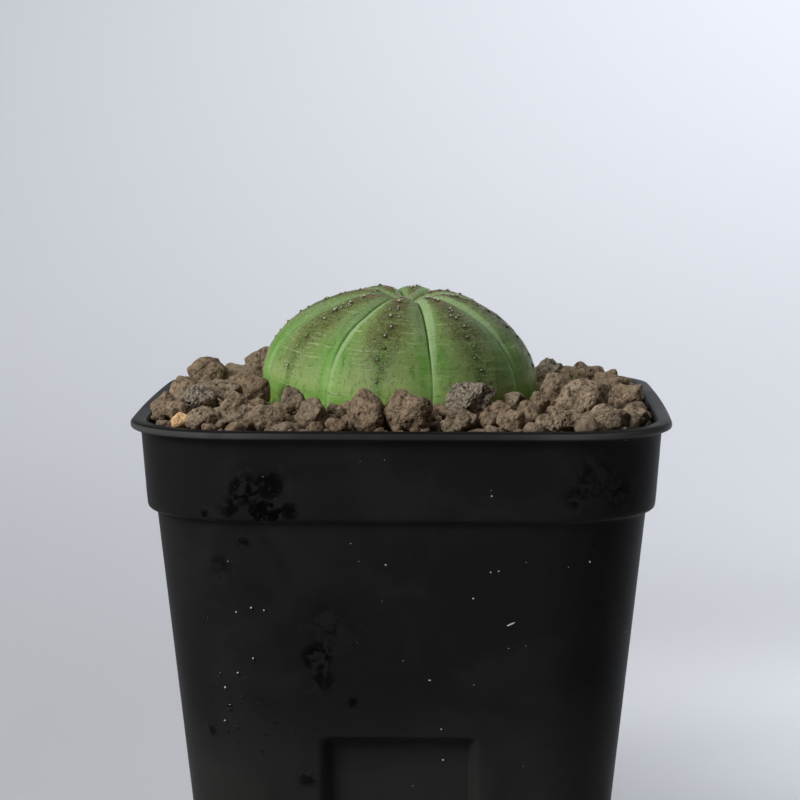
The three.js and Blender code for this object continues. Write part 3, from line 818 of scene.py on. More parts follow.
# The skin. Its colours follow the ribs: olive and speckled along the ridge, clear green beside
# the grooves with a painted highlight, a pale ribbon, on one shoulder, and yellower towards the
# grit, partly its own colour and partly painted light. Faint pale lines cross each rib where it
# swelled season by season.
SKIN_RIDGE = (0.166, 0.199, 0.062)
SKIN_RIDGE_LOW = (0.278, 0.372, 0.155)
SKIN_FLANK = (0.212, 0.322, 0.090)
SKIN_GREEN = (0.165, 0.370, 0.070)
SKIN_DEEP = (0.140, 0.380, 0.030)
SKIN_MIDDLE = (0.085, 0.210, 0.030)
SKIN_LOW_PALE_AND_LIT = (0.430, 0.560, 0.200)
SKIN_GLOW = (0.390, 0.680, 0.190)
SKIN_BLOOM = (0.260, 0.350, 0.185)
SKIN_SHOULDER_HIGHLIGHT = (0.390, 0.540, 0.265)
SKIN_LINE = (0.440, 0.555, 0.265)
SKIN_CREASE_SHADE = (0.030, 0.085, 0.012)
SKIN_SPECK = (0.060, 0.048, 0.016)
SKIN_BLUSH = (0.330, 0.160, 0.110)
SKIN_PATCH = (0.080, 0.120, 0.028)

skin, tree, shader = new_finish(
    "waxy_green_skin",
    Subsurface_Weight=0.15,
    Subsurface_Radius=(0.0010, 0.0014, 0.0005),
    Subsurface_Scale=1.0,
    Specular_IOR_Level=0.15,
)


def stored(tree, name):
    return add_node(tree, "ShaderNodeAttribute", out="Fac", attribute_name=name)


at = object_at(tree)
marks = ("aside", "latitude", "rib", "stain", "turn")
aside, latitude, rib, stain, turn = (stored(tree, name) for name in marks)
groove = abs(aside)
east = turn * GLOBE_RADIUS  # millimetres round the globe
north = latitude * (GLOBE_RADIUS + GLOBE_RISE) / 2  # millimetres up it
to_groove = latitude.math("COSINE") * GLOBE_RADIUS * math.pi / RIBS
from_left = (aside + 1.0) * to_groove
from_right = (1.0 - aside) * to_groove
broad = noise(at, 130, 3, 0.55, 0.4)
blotch = noise(at, 420, 4, 0.6, 0.3)
dapple = noise(at, 1100, 3, 0.65)
grain = noise(at, 3800, 2, 0.7)
streaks = noise(vector(east * 0.8, north * 0.22, rib), 1.0, 3, 0.6)
wrinkles = noise(vector(east * 0.30, north * 2.6, rib), 1.0, 2, 0.6)

side = groove + (broad - 0.5) * 0.5 + (streaks - 0.5) * 0.7 + (blotch - 0.5) * 0.3
beside = side - latitude.ramp(0.25, 0.90, 0.0, 0.25)
ridge = mix_colour((latitude + broad * 0.5).ramp(0.95, 0.45), SKIN_RIDGE, SKIN_RIDGE_LOW)
# Paler and yellower towards the grit: partly the skin's own colour and partly painted light.
low = (latitude + (broad - 0.5) * 0.4).ramp(0.48, 0.02)
bloom = latitude.ramp(0.45, 0.95) * (aside + (streaks - 0.5) * 0.8).ramp(0.30, 0.80)
olive = side.ramp(0.38, 0.05) * blotch.ramp(0.40, 0.58) * latitude.ramp(0.1, 0.6, 0.5, 1.0)
tone = paint(
    ridge,
    (beside.ramp(0.07, 0.45), SKIN_FLANK),
    (beside.ramp(0.40, 0.95), SKIN_GREEN),
    (low * 0.80, SKIN_LOW_PALE_AND_LIT),
    (bloom * 0.40, SKIN_BLOOM),
    (streaks.ramp(0.52, 0.70) * 0.50, SKIN_PATCH),
    (olive * 0.45, SKIN_PATCH),
    (streaks.ramp(0.46, 0.28) * 0.30, SKIN_LINE),
)

# Deep green low on the right of each rib and in a streak down its middle, a clear green glow
# along the grooves, and deep green again where the skin goes down into the grit, partly the
# greener skin the grit hides and partly painted contact shade.
deep = from_right.ramp(2.6, 0.9) * latitude.ramp(0.75, 0.30)
deep = deep * streaks.ramp(0.35, 0.60, 0.4, 1.0)
middle = (groove + (streaks - 0.5) * 0.25).ramp(0.15, 0.02) * latitude.ramp(0.80, 0.50)
tone = paint(
    tone,
    (deep * 0.78, SKIN_DEEP),
    (middle * 0.55, SKIN_MIDDLE),
    (groove.ramp(0.78, 0.98) * latitude.ramp(0.55, 0.15) * 0.7, SKIN_GLOW),
    # Painted contact shade near the grit, partly the greener skin that the grit hides.
    ((latitude + (broad - 0.5) * 0.2).ramp(0.20, -0.01) * 0.65, SKIN_DEEP),
)

# Transverse lines: sets of fine ones, bowed and broken, and a few longer single ones.
bowed = north + groove**2.0 * -0.6 + (broad - 0.5) * 2.2 + (blotch - 0.5) * 0.5
fine_tier = ((bowed + (dapple - 0.5) * 0.5) / 0.95).math("FRACT")
fine_line = abs(fine_tier - 0.5).ramp(0.18, 0.03)
set_of = noise(vector(east * 0.20, north * 0.34, rib * 3.0), 1.0, 2, 0.6)
tier = bowed / 2.3
tier_number = tier.math("FLOOR")
tier_at = vector(rib, tier_number, 0.0)
chance = add_node(tree, "ShaderNodeTexWhiteNoise", {"Vector": tier_at}, "Value")
from_line = abs(tier - tier_number - 0.3 - chance * 0.4)
line = from_line.ramp(0.09, 0.02) * chance.ramp(0.35, 0.75)
line = line * noise(vector(east * 0.22, tier_number * 3.0, rib), 1.0, 1).ramp(0.42, 0.60)
line = line * latitude.ramp(1.25, 0.9) * broad.ramp(0.4, 0.6, 0.50, 1.0)

# The pale ribbon on the left shoulder of each rib, a painted highlight, and painted shade along
# the bottom of the crease.
shoulder_highlight = from_left.ramp(0.06, 0.16)
shoulder_highlight = shoulder_highlight * (from_left - latitude.ramp(0.2, 0.9) * 0.8).ramp(0.95, 0.35)
shoulder_highlight = shoulder_highlight * latitude.ramp(0.05, 0.55, 0.45, 1.0)
shoulder_highlight = shoulder_highlight * (wrinkles * fine_line).ramp(0.1, 0.6, 1.0, 0.45)
faint_shoulder_highlight = from_right.ramp(0.25, 0.45) * from_right.ramp(1.30, 0.60)
# Painted shade: dark along the bottom of each crease.
crease_shade = from_left.math("MINIMUM", from_right).ramp(0.10, 0.02)
tone = paint(
    tone,
    (fine_line * set_of.ramp(0.50, 0.62) * 0.46, SKIN_LINE),
    (line, SKIN_LINE),
    (wrinkles.ramp(0.54, 0.74) * 0.22, SKIN_LINE),
    (shoulder_highlight * broad.ramp(0.3, 0.6, 0.65, 0.95), SKIN_SHOULDER_HIGHLIGHT),
    (faint_shoulder_highlight * broad.ramp(0.4, 0.7, 0.0, 0.25), SKIN_SHOULDER_HIGHLIGHT),
    (crease_shade * latitude.ramp(0.3, 0.7, 0.0, 0.6), SKIN_CREASE_SHADE),
)

# Grain and specks: fine all over, brown and dense on the ridge near the crown and round the
# scars, with a blush at the crown.
speckled = beside.ramp(0.50, 0.05) * latitude.ramp(-0.1, 0.75, 0.25, 1.0)
near_scar = stain * (dapple * 0.6 + blotch * 0.6).ramp(0.50, 0.66)
crowded = (dapple + speckled * 0.12 + near_scar * 0.12).ramp(0.54, 0.70)
blush = latitude.ramp(1.0, 1.3) * groove.ramp(0.6, 0.1) * blotch.ramp(0.46, 0.60)
tone = paint(
    tone,
    (grain.ramp(0.48, 0.30) * 0.34, SKIN_LINE),
    (grain.ramp(0.52, 0.72) * (speckled * 0.34 + 0.12), SKIN_SPECK),
    (stain * dapple.ramp(0.40, 0.55) * 0.45, SKIN_PATCH),
    (crowded * grain.ramp(0.40, 0.60) * 0.58, SKIN_SPECK),
    (stain.ramp(0.60, 0.95) * 0.6, SKIN_SPECK),
    (blush * 0.7, SKIN_BLUSH),
)
connect(
    shader,
    Base_Color=tone,
    Roughness=blotch.ramp(0.3, 0.7, 0.48, 0.62),
    Normal=bump(wrinkles * 0.6 + dapple * 0.5 + grain * 0.4, 0.30, 0.00012),
)

neck = GLOBE_DROP * math.sin(LOWEST_LATITUDE)
root_rows = [
    (0.0, neck - TAPROOT_LENGTH),
    (0.8 * TAPROOT_TIP_RADIUS, neck - TAPROOT_LENGTH),
    (TAPROOT_TIP_RADIUS, neck - TAPROOT_LENGTH + 0.4),
    (0.4 * TAPROOT_RADIUS, neck - 0.55 * TAPROOT_LENGTH),
    (0.75 * TAPROOT_RADIUS, neck - 0.3 * TAPROOT_LENGTH),
    (TAPROOT_RADIUS, neck - 0.12 * TAPROOT_LENGTH),
    (TAPROOT_RADIUS + 2, neck + 0.6),
    (0.0, neck + 0.6),
]
circle = np.array([(math.cos(k * math.pi / 16), math.sin(k * math.pi / 16)) for k in range(32)])
taproot = mesh_piece("taproot", *square_lathe(root_rows, circle))
plant_skin = grown(taproot, "plant_skin", globe_tree, **GLOBE, Skin=skin)
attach(plant_skin, "root")
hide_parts("plant_body")


# ---------- The bud scars ----------
# Small corky bumps with pale tips, left where flower stalks stood; the tips are made paler
# towards the crown, partly as a painted glint. They follow each ridge, either side of the crest
# by turns, and crowd together round the crown.

BUD_SCARS = 9
BUD_SCAR_RADIUS = 0.5
TOP_SCAR = 74  # degrees of latitude, as in the next value and the last
SCAR_SPAN = 62
CROWN_SCARS = 14  # small ones round the crown, on each rib
LOWEST_CROWN_SCAR = 52


def skin_point(turn, aside, latitude):
    """A point of the skin, in the plant's own frame, in millimetres."""
    radius = GLOBE_RADIUS * math.cos(latitude)
    rise = GLOBE_RISE if latitude > 0 else GLOBE_DROP
    dimple = CROWN_DIMPLE * math.exp(-((radius / CROWN_DIMPLE_RADIUS) ** 2))
    height = rise * math.sin(latitude) - (dimple if latitude > 0 else 0.0)
    taper = min(1.0, radius / 3.0) * float(ease((latitude + 1.2) / 0.7))
    taper *= 1 + CROWN_DEEPENING * float(ease((latitude - 0.6) / 0.5))
    depth = taper * VALLEY * abs(aside) ** VALLEY_POWER
    outward = radius - depth * math.cos(latitude)
    crownwards = float(ease((latitude - 0.5) / 0.8))
    return Vector((
        outward * math.sin(turn) + crownwards * CROWN_SHIFT[0],
        -outward * math.cos(turn) + crownwards * CROWN_SHIFT[1],
        height - depth * math.sin(latitude),
    ))


def skin_normal(turn, aside, latitude):
    step = 0.02
    east = skin_point(turn + step, aside, latitude) - skin_point(turn - step, aside, latitude)
    north = skin_point(turn, aside, latitude + step) - skin_point(turn, aside, latitude - step)
    return east.cross(north).normalized()


scars = []  # each: place, way out, size, brightness of the tip
draw = draw_from(5)
more_draw = draw_from(6)


def add_scar(rib_number, aside_at, latitude_at, size):
    turn_at = RIB_TURN + (rib_number + aside_at / 2) * 2 * math.pi / RIBS
    way = skin_normal(turn_at, aside_at, latitude_at)
    # The tip's paleness, more towards the crown: partly its own colour and partly a painted
    # glint.
    bright = 0.35 + 0.5 * more_draw() + 0.4 * float(ease((latitude_at - 0.6) / 0.4))
    scars.append((skin_point(turn_at, aside_at, latitude_at) - way * 0.08, way, size, bright))


for rib_number in range(RIBS):
    for k in range(BUD_SCARS):
        down = (k + 0.35 + 0.4 * draw()) / BUD_SCARS
        latitude_at = math.radians(TOP_SCAR - SCAR_SPAN * down**0.85)
        aside_at = (0.05 if k % 2 else -0.05) + 0.06 * (draw() - 0.5)
        size = BUD_SCAR_RADIUS * (0.75 + 0.4 * draw()) * (1.05 - 0.35 * down)
        draw()  # the solids spend this one on the bump's turn
        add_scar(rib_number, aside_at, latitude_at, size)
    for _ in range(CROWN_SCARS):
        latitude_at = math.radians(LOWEST_CROWN_SCAR + 27 * more_draw())
        add_scar(rib_number, 0.45 * (more_draw() - 0.5), latitude_at, 0.15 + 0.24 * more_draw())

SCAR = {
    "Mound": 0.50,
    "Nib": 0.70,
    "Nib_Radius": 0.40,
    "Raggedness": 0.24 * MM,
    "Ragged_Size": 0.32 * MM,
}


def scaled(at, by):
    return add_node(at.tree, "ShaderNodeVectorMath", {0: at, "Scale": by}, operation="SCALE")


def pushed(geometry, far):
    """The surface moved outwards, each point as far as `far` says."""
    outwards = add_node(geometry.tree, "GeometryNodeInputNormal")
    return then(geometry, "SetPosition", Offset=scaled(outwards, far))


scar_tree, given = node_tree("bud_scars", **SCAR, Cork="Material")
tree = scar_tree
unit_ball = ball(tree, 3)
x, y, z = parts(add_node(tree, "GeometryNodeInputPosition"))
from_axis = (x * x + y * y).math("SQRT")
nib = (from_axis / given["Nib_Radius"]).bell()
risen = (1.0 - from_axis * from_axis) * given["Mound"] + nib * given["Nib"]
upper = z.math("GREATER_THAN", 0.0)
mound_place = vector(x, y, risen * upper + z.math("MINIMUM", 0.0) * 0.3)
unit_ball = store(unit_ball, tip=nib.ramp(0.35, 0.60) * upper)
mound = then(unit_ball, "SetPosition", Position=mound_place)
outwards = {"Vector": named(tree, "way", "FLOAT_VECTOR")}
way = add_node(tree, "FunctionNodeAlignRotationToVector", outwards, axis="Z")
scattered = copies(given["Geometry"], mound, way, named(tree, "size"))
scattered = then(scattered, "RealizeInstances")
place = add_node(tree, "GeometryNodeInputPosition")
ragged = noise(place, given["Ragged_Size"] ** -1.0, 2.0) - 0.5
end_tree(pushed(scattered, ragged * given["Raggedness"]), given["Cork"])

CORK_DARK = (0.046, 0.038, 0.014)
CORK_LIGHT = (0.130, 0.120, 0.046)
CORK_TIP_AND_GLINT = (0.88, 0.84, 0.70)
CORK_TIP_DULL = (0.26, 0.21, 0.12)
cork, tree, shader = new_finish("corky_scar", Specular_IOR_Level=0.25)
at = object_at(tree)
rough_cork = noise(at, 3500, 2)
tone = mix_colour(rough_cork.ramp(0.3, 0.7), CORK_DARK, CORK_LIGHT)
tip_tone = mix_colour(stored(tree, "bright").ramp(0.3, 0.8), CORK_TIP_DULL, CORK_TIP_AND_GLINT)
tone = mix_colour(stored(tree, "tip"), tone, tip_tone)
connect(
    shader,
    Base_Color=tone,
    Roughness=stored(tree, "tip").ramp(0.2, 0.8, 0.65, 0.25),
    Normal=bump(rough_cork, 0.3, 0.0001),
)

places, ways, sizes, brights = zip(*scars)
scar_points = point_cloud(
    "scar_points", places, way=ways, size=np.array(sizes) * MM, bright=brights
)
bud_scars = grown(scar_points, "bud_scars", scar_tree, **SCAR, Cork=cork)


def points_of(mesh):
    """A mesh's points in metres, one row for each."""
    points = np.empty(len(mesh.vertices) * 3, np.float32)
    mesh.vertices.foreach_get("co", points)
    return points.reshape(-1, 3)


# The skin is stained dark round each scar.
skin_at = points_of(plant_skin.data) / MM
stained = np.zeros(len(skin_at))
for place, _, size, _ in scars:
    off = np.linalg.norm(skin_at - np.array(place), axis=1)
    spread = 2.2 * size + 0.3
    stained = np.maximum(stained, min(1.0, 2.4 * size) * np.exp(-((off / spread) ** 2)))
mark(plant_skin, stain=stained)

for piece in (plant_skin, bud_scars):
    piece.data.transform(plant_place)
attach(bud_scars, "root")
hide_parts("plant_body")


# ---------- The loose stones ----------
# The larger grains of the grit, lying in the top of the bed: mostly brown, some tan and finely
# pitted, some grey porous lava, and one small grain of orange clay. Each is a rounded lump of
# a dozen or so worn faces.

GRAIN_FORMS = 12
GRAIN_FACETS = 14
GRAIN_SHARPNESS = 14
GOLDEN_ANGLE = 2.399963
FORM_SEED = 100
STONE_SEED = 300
LOOSE_WIDTH = 4.4  # a stone this wide is a piece of its own
STONE_FILL = 0.55  # a form reaches a little less than its size
BIG_STONE_SEMI = 3.4
FIRST_TINT = 1399  # seeds that give stones side by side unlike tints
TINT_STEP = 48
BED_TINT = 911
CRUMB_TINT = 909

# Each stone: x, y, height of its middle above the rim, width, depth, height, kind. A hollow
# is a place between the stones that finer grit has not filled.
STONES = [
    (-5.1, -36.6, 1.7, 6.4, 5.4, 6.4, "brown"),
    (1.2, -36.6, 2.0, 7.4, 5.6, 6.2, "brown"),
    (11.0, -31.2, 3.6, 7.2, 6.0, 4.8, "grey"),
    (30.4, -25.5, 2.8, 8.6, 6.8, 6.0, "pale"),
    (-21.7, -36.6, 0.8, 6.4, 4.8, 4.4, "brown"),
    (25.9, -37.2, 0.5, 7.4, 4.6, 3.8, "pale"),
    (-14.2, -35.0, 1.2, 5.4, 4.8, 5.2, "brown"),
    (33.9, -34.4, 0.9, 6.0, 5.0, 4.4, "pale"),
    (-24.8, -19.0, 3.7, 4.4, 4.4, 6.0, "brown"),
    (-29.4, -18.4, 3.4, 5.0, 4.8, 4.2, "brown"),
    (-33.9, -22.2, 2.4, 6.2, 5.4, 4.0, "grey"),
    (-27.6, -27.2, 1.8, 4.4, 4.2, 4.2, "brown"),
    (-39.2, -26.2, 1.2, 5.2, 5.0, 4.4, "brown"),
    (-37.0, -28.9, 1.4, 4.4, 3.6, 3.0, "brown"),
    (-32.6, -36.2, 0.9, 4.8, 4.4, 3.4, "pale"),
    (-35.7, -34.9, 0.4, 3.2, 2.6, 2.4, "orange"),
    (-18.0, -28.4, 2.8, 4.0, 3.8, 4.4, "brown"),
    (9.9, -37.4, 0.5, 5.4, 4.4, 4.0, "brown"),
    (18.8, -29.0, 3.0, 4.2, 3.6, 3.0, "brown"),
    (21.3, -34.2, 1.7, 3.9, 3.6, 4.4, "pale"),
    (26.6, -8.6, 3.4, 4.6, 4.6, 4.8, "brown"),
    (38.8, -8.0, 1.7, 4.6, 4.4, 4.0, "pale"),
    (38.6, -28.2, 0.4, 5.4, 3.6, 3.0, "pale"),
    (35.6, 4.6, 1.6, 7.2, 5.4, 4.2, "brown"),
    (32.2, 14.6, 2.5, 4.4, 4.4, 4.2, "pale"),
    (-36.6, 19.6, 2.2, 6.8, 6.2, 5.4, "brown"),
    (-39.2, 1.8, 1.6, 5.0, 5.2, 3.8, "brown"),
    (-26.6, 30.2, 2.8, 8.4, 7.4, 6.0, "brown"),
    (26.6, 30.2, 2.2, 5.2, 4.8, 3.4, "grey"),
    (-26.2, -33.8, 0.7, 3.8, 3.6, 3.8, "brown"),
    (-23.4, -27.6, 1.8, 3.8, 3.6, 2.8, "brown"),
    (-10.1, -38.4, 0.1, 3.6, 3.2, 2.8, "brown"),
    (16.5, -33.2, 1.9, 3.5, 3.4, 3.4, "brown"),
    (18.0, -37.8, 0.8, 3.8, 3.6, 3.8, "brown"),
    (14.7, -36.8, 0.8, 3.2, 3.2, 3.2, "brown"),
    (22.8, -28.0, 2.6, 3.2, 3.2, 3.4, "brown"),
    (25.2, -23.4, 2.6, 2.8, 2.8, 2.8, "brown"),
    (25.9, -32.2, 1.7, 3.2, 3.0, 2.4, "brown"),
    (-10.6, -31.6, 1.4, 3.4, 3.2, 2.8, "brown"),
    (5.9, -38.4, 0.2, 2.8, 2.6, 3.0, "hollow"),
]


def grain_form(form):
    """The facets of one form: their directions and distances."""
    draw = draw_from(FORM_SEED + form)
    facets = []
    for i in range(GRAIN_FACETS):
        height = 1 - (2 * (i + 0.5)) / GRAIN_FACETS
        around = i * GOLDEN_ANGLE
        ring = math.sqrt(1 - height * height)
        even = (ring * math.cos(around), ring * math.sin(around), height)
        way = Vector([c + 0.6 * (draw() - 0.5) for c in even])
        facets.append((*way.normalized(), 0.78 + 0.3 * draw()))
    return np.array(facets)


def form_mesh(name, form, rounds):
    """A form as a mesh of about unit size, from a ball divided `rounds` times."""
    blank = bmesh.new()
    bmesh.ops.create_icosphere(blank, subdivisions=rounds, radius=1.0)
    mesh = bpy.data.meshes.new(name)
    blank.to_mesh(mesh)
    blank.free()
    ways = points_of(mesh)
    ways /= np.linalg.norm(ways, axis=1, keepdims=True)
    facets = grain_form(form)
    facing = np.maximum(0.0, ways @ facets[:, :3].T) / facets[:, 3]
    reach = (facing**GRAIN_SHARPNESS).sum(axis=1) ** (-1 / GRAIN_SHARPNESS)
    mesh.vertices.foreach_set("co", (ways * reach[:, None]).astype(np.float32).ravel())
    return bpy.data.objects.new(name, mesh)


def form_set(name, rounds):
    """A collection of all the forms, for a tree to pick from."""
    forms = bpy.data.collections.new(name)
    for form in range(GRAIN_FORMS):
        forms.objects.link(form_mesh(f"{name}_{form:02d}", form, rounds))
    return forms


stones = []
for i, (x, y, above_rim, *sizes, kind) in enumerate(STONES):
    draw = draw_from(STONE_SEED + i)
    stones.append({
        "at": (x, y, POT_HEIGHT + above_rim),
        "semi": tuple(STONE_FILL * size for size in sizes),
        "turn": tuple(most * (draw() - 0.5) for most in (0.3, 0.3, 0.8)),
        "form": i % GRAIN_FORMS,
        "kind": kind,
        "loose": sizes[0] >= LOOSE_WIDTH or kind == "orange",
    })

# Grains: forms picked for points, then made lumpy, cracked and gritty in proportion to their
# girth.
plain_wear = {
    "Lumps": 0.65,
    "Chips": 0.17,
    "Cracks": 0.03,
    "Crumb_Size": 0.5 * MM,
    "Crumb_Height": 0.06 * MM,
    "Pit_Size": 0.9 * MM,
    "Pit_Depth": 0.10 * MM,
}
grain_tree, given = node_tree("grit_grains", Forms="Collection", **plain_wear, Stone="Material")
tree = grain_tree
of_set = {"Collection": given["Forms"], "Separate Children": True, "Reset Children": True}
forms = add_node(tree, "GeometryNodeCollectionInfo", of_set)
pick = {"Pick Instance": True, "Instance Index": named(tree, "form", "INT")}
whole = then(turned_copies(given["Geometry"], forms, **pick), "RealizeInstances")
girth = named(tree, "girth")
here = add_node(tree, "GeometryNodeInputPosition")
own = scaled(here, girth**-1.0)
lump = noise(own, 0.9, 1.0, 0.5) - 0.5
chip = noise(own, 2.3, 2.0, 0.55) - 0.5
seam = abs(noise(own, 1.3, 1.0, 0.5) - 0.5).ramp(0.05, 0.0)


def cells(at, scale):
    return add_node(at.tree, "ShaderNodeTexVoronoi", {"Vector": at, "Scale": scale}, "Distance")


crumb = 0.45 - cells(here, given["Crumb_Size"] ** -1.0)
pit = cells(here, given["Pit_Size"] ** -1.0).ramp(0.5, 0.1) * chip.ramp(-0.10, 0.06)
offset = girth * (lump * given["Lumps"] + chip * given["Chips"] - seam * given["Cracks"])
offset = offset + crumb * given["Crumb_Height"] - pit * given["Pit_Depth"]
# Painted shade in the pits, cracks, chips and crumb dips of each grain, for the material to read.
hollow = pit * 0.8 + seam * 0.5 + chip.ramp(-0.05, -0.2) * 0.5 + crumb.ramp(-0.02, -0.25) * 0.4
end_tree(pushed(store(whole, hollow=hollow), offset), given["Stone"])

# The surface that all the stones share: colour that varies from grain to grain and over each
# grain, with painted shade in the pits and dips and lower down in the bed, and a fine gritty
# relief.
surface, given = node_group(
    "gritty_surface",
    "ShaderNodeTree",
    {"Colour": "Color", "Height": "Float"},
    dict.fromkeys(("Light", "Dark", "Other", "Pit"), "Color")
    | dict.fromkeys(("Pit Scale", "Pit Amount"), "Float"),
)
at = object_at(surface)
tint, hollow = (stored(surface, name) for name in ("tint", "hollow"))
mottle = noise(at, 650, 3, 0.6, 0.3)
sandy = noise(at, 3600, 3, 0.7)
crumbs = cells(at, 2300.0)
holed = cells(at, given["Pit Scale"]).ramp(0.36, 0.12)
holed = holed * mottle.ramp(0.42, 0.58) * given["Pit Amount"]
_, _, height = parts(at)
tone = paint(
    given["Dark"],
    (mottle.ramp(0.34, 0.66) * 0.55 + tint * 0.45, given["Light"]),
    ((tint * 7.3).math("FRACT").ramp(0.35, 0.95) * 0.6, given["Other"]),
    (sandy.ramp(0.52, 0.72) * 0.40, given["Light"]),
    (sandy.ramp(0.46, 0.28) * 0.45, given["Dark"]),
    # Painted shade: the pits and dips of each grain, and the grains lower in the bed, take the
    # Pit colour.
    (hollow.math("MAXIMUM", holed) * 0.85, given["Pit"]),
    (height.ramp(0.0895, 0.0860) * 0.6, given["Pit"]),
)
relief = sandy * 0.5 + mottle * 0.6 - crumbs * 0.6 - holed
connect(surface.nodes.new("NodeGroupOutput"), Colour=tone, Height=relief)


def stone_finish(name, relief, pit_scale, pit_amount, **colours):
    material, tree, shader = new_finish(name, Roughness=0.95, Specular_IOR_Level=0.15)
    inputs = {socket: (*colour, 1.0) for socket, colour in colours.items()}
    inputs |= {"Pit Scale": pit_scale, "Pit Amount": pit_amount}
    colour = add_node(tree, "ShaderNodeGroup", inputs, "Colour", node_tree=surface)
    height = Wire(tree, colour.socket.node.outputs["Height"])
    connect(shader, Base_Color=colour, Normal=bump(height, relief, 0.0004))
    return material


stone_kinds = {
    "brown": stone_finish(
        "brown_stone", 0.55, 2400, 0.4,
        Light=(0.475, 0.354, 0.237),
        Dark=(0.220, 0.157, 0.099),
        Other=(0.355, 0.291, 0.209),
        Pit=(0.055, 0.037, 0.024),
    ),
    "pale": stone_finish(
        "tan_stone", 0.6, 2000, 0.9,
        Light=(0.555, 0.428, 0.300),
        Dark=(0.335, 0.251, 0.167),
        Other=(0.475, 0.370, 0.260),
        Pit=(0.065, 0.044, 0.029),
    ),
    "grey": stone_finish(
        "grey_lava", 1.0, 1500, 1.0,
        Light=(0.560, 0.475, 0.365),
        Dark=(0.330, 0.279, 0.214),
        Other=(0.410, 0.351, 0.270),
        Pit=(0.065, 0.055, 0.045),
    ),
    "orange": stone_finish(
        "orange_clay", 0.4, 2400, 0.4,
        Light=(1.00, 0.70, 0.38),
        Dark=(0.98, 0.63, 0.31),
        Other=(1.00, 0.67, 0.34),
        Pit=(0.30, 0.15, 0.06),
    ),
}
wear = {
    "brown": plain_wear,
    "pale": plain_wear | {"Pit_Size": 0.7 * MM, "Pit_Depth": 0.22 * MM},
    "grey": plain_wear | {
        "Chips": 0.28, "Crumb_Height": 0.16 * MM, "Pit_Size": 0.8 * MM, "Pit_Depth": 0.4 * MM,
    },
    "orange": plain_wear | {"Lumps": 0.5, "Chips": 0.2, "Cracks": 0.0},
}


def room_half(z):
    """The half width inside the pot, less a hair's breadth, in millimetres."""
    body = ((FLOOR_TOP, 33.0), (BODY_TOP_Z, BODY_TOP_HALF - WALL))
    return np.interp(z, *zip(*body, *COLLAR_INSIDE)) - 0.25


def keep_in_pot(mesh):
    """Flattens what would stand through the pot's wall against it."""
    points = points_of(mesh).astype(float) / MM
    half = room_half(points[:, 2:])
    radius = CORNER_RATIO * half
    flat = np.clip(points[:, :2], -half, half)
    over = np.maximum(np.abs(flat) - (half - radius), 0.0)
    out = np.hypot(over[:, :1], over[:, 1:])
    inside = np.sign(flat) * (half - radius + over * radius / np.maximum(out, radius))
    points[:, :2] = np.where((out > radius) & (over > 0), inside, flat)
    mesh.vertices.foreach_set("co", (points * MM).astype(np.float32).ravel())
    mesh.update()


def lay_grains(name, grains, forms, finish, values, seed):
    """Grains as one piece, each a tint of its own."""
    draw = draw_from(seed)
    cloud = point_cloud(
        name + "_points",
        [g["at"] for g in grains],
        turn=[turned(**dict(zip("XYZ", g["turn"]))) for g in grains],
        semi=np.array([g["semi"] for g in grains]) * MM,
        girth=np.array([sum(g["semi"]) / 3 for g in grains]) * MM,
        form=[g["form"] for g in grains],
        tint=[draw() for _ in grains],
    )
    piece = grown(cloud, name, grain_tree, Forms=forms, Stone=finish, **values)
    keep_in_pot(piece.data)
    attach(piece, "root")
    return piece


big_forms = form_set("big_form", 6)
stone_forms = form_set("stone_form", 5)
loose_stones = [stone for stone in stones if stone["loose"]]
for number, stone in enumerate(loose_stones, start=1):
    kind = stone["kind"]
    forms = big_forms if stone["semi"][0] > BIG_STONE_SEMI else stone_forms
    seed = FIRST_TINT + TINT_STEP * number
    piece = lay_grains(f"stone_{number:02d}", [stone], forms, stone_kinds[kind], wear[kind], seed)
    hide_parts(f"loose_stone_{number:02d}")


# ---------- The grit bed ----------
# Coarse brown grit that fills the pot and heaps a little above its rim. Whole grains from 1 to
# 7 mm lie over a packed fill, with finer ones in the gaps.

GLOBE_CLEAR = 0.7
HEAP_AT_WALL = 1.2
HEAP_RISE = 3.0
FILL_BELOW_HEAP = 3.6
CLEARANCE = 0.3
TRIES = 10
PACKING = 0.7
bed_half = COLLAR_TOP_HALF - WALL - CLEARANCE
bed_corner = CORNER_RATIO * bed_half


def from_wall(x, y):
    dx = max(abs(x) - (bed_half - bed_corner), 0.0)
    dy = max(abs(y) - (bed_half - bed_corner), 0.0)
    return bed_corner - math.hypot(dx, dy)


def heap_top(share):
    return POT_HEIGHT + HEAP_AT_WALL + HEAP_RISE * (1 - share * share)


def share_out(x, y):
    return max(abs(x), abs(y)) / bed_half


draw = draw_from(7)


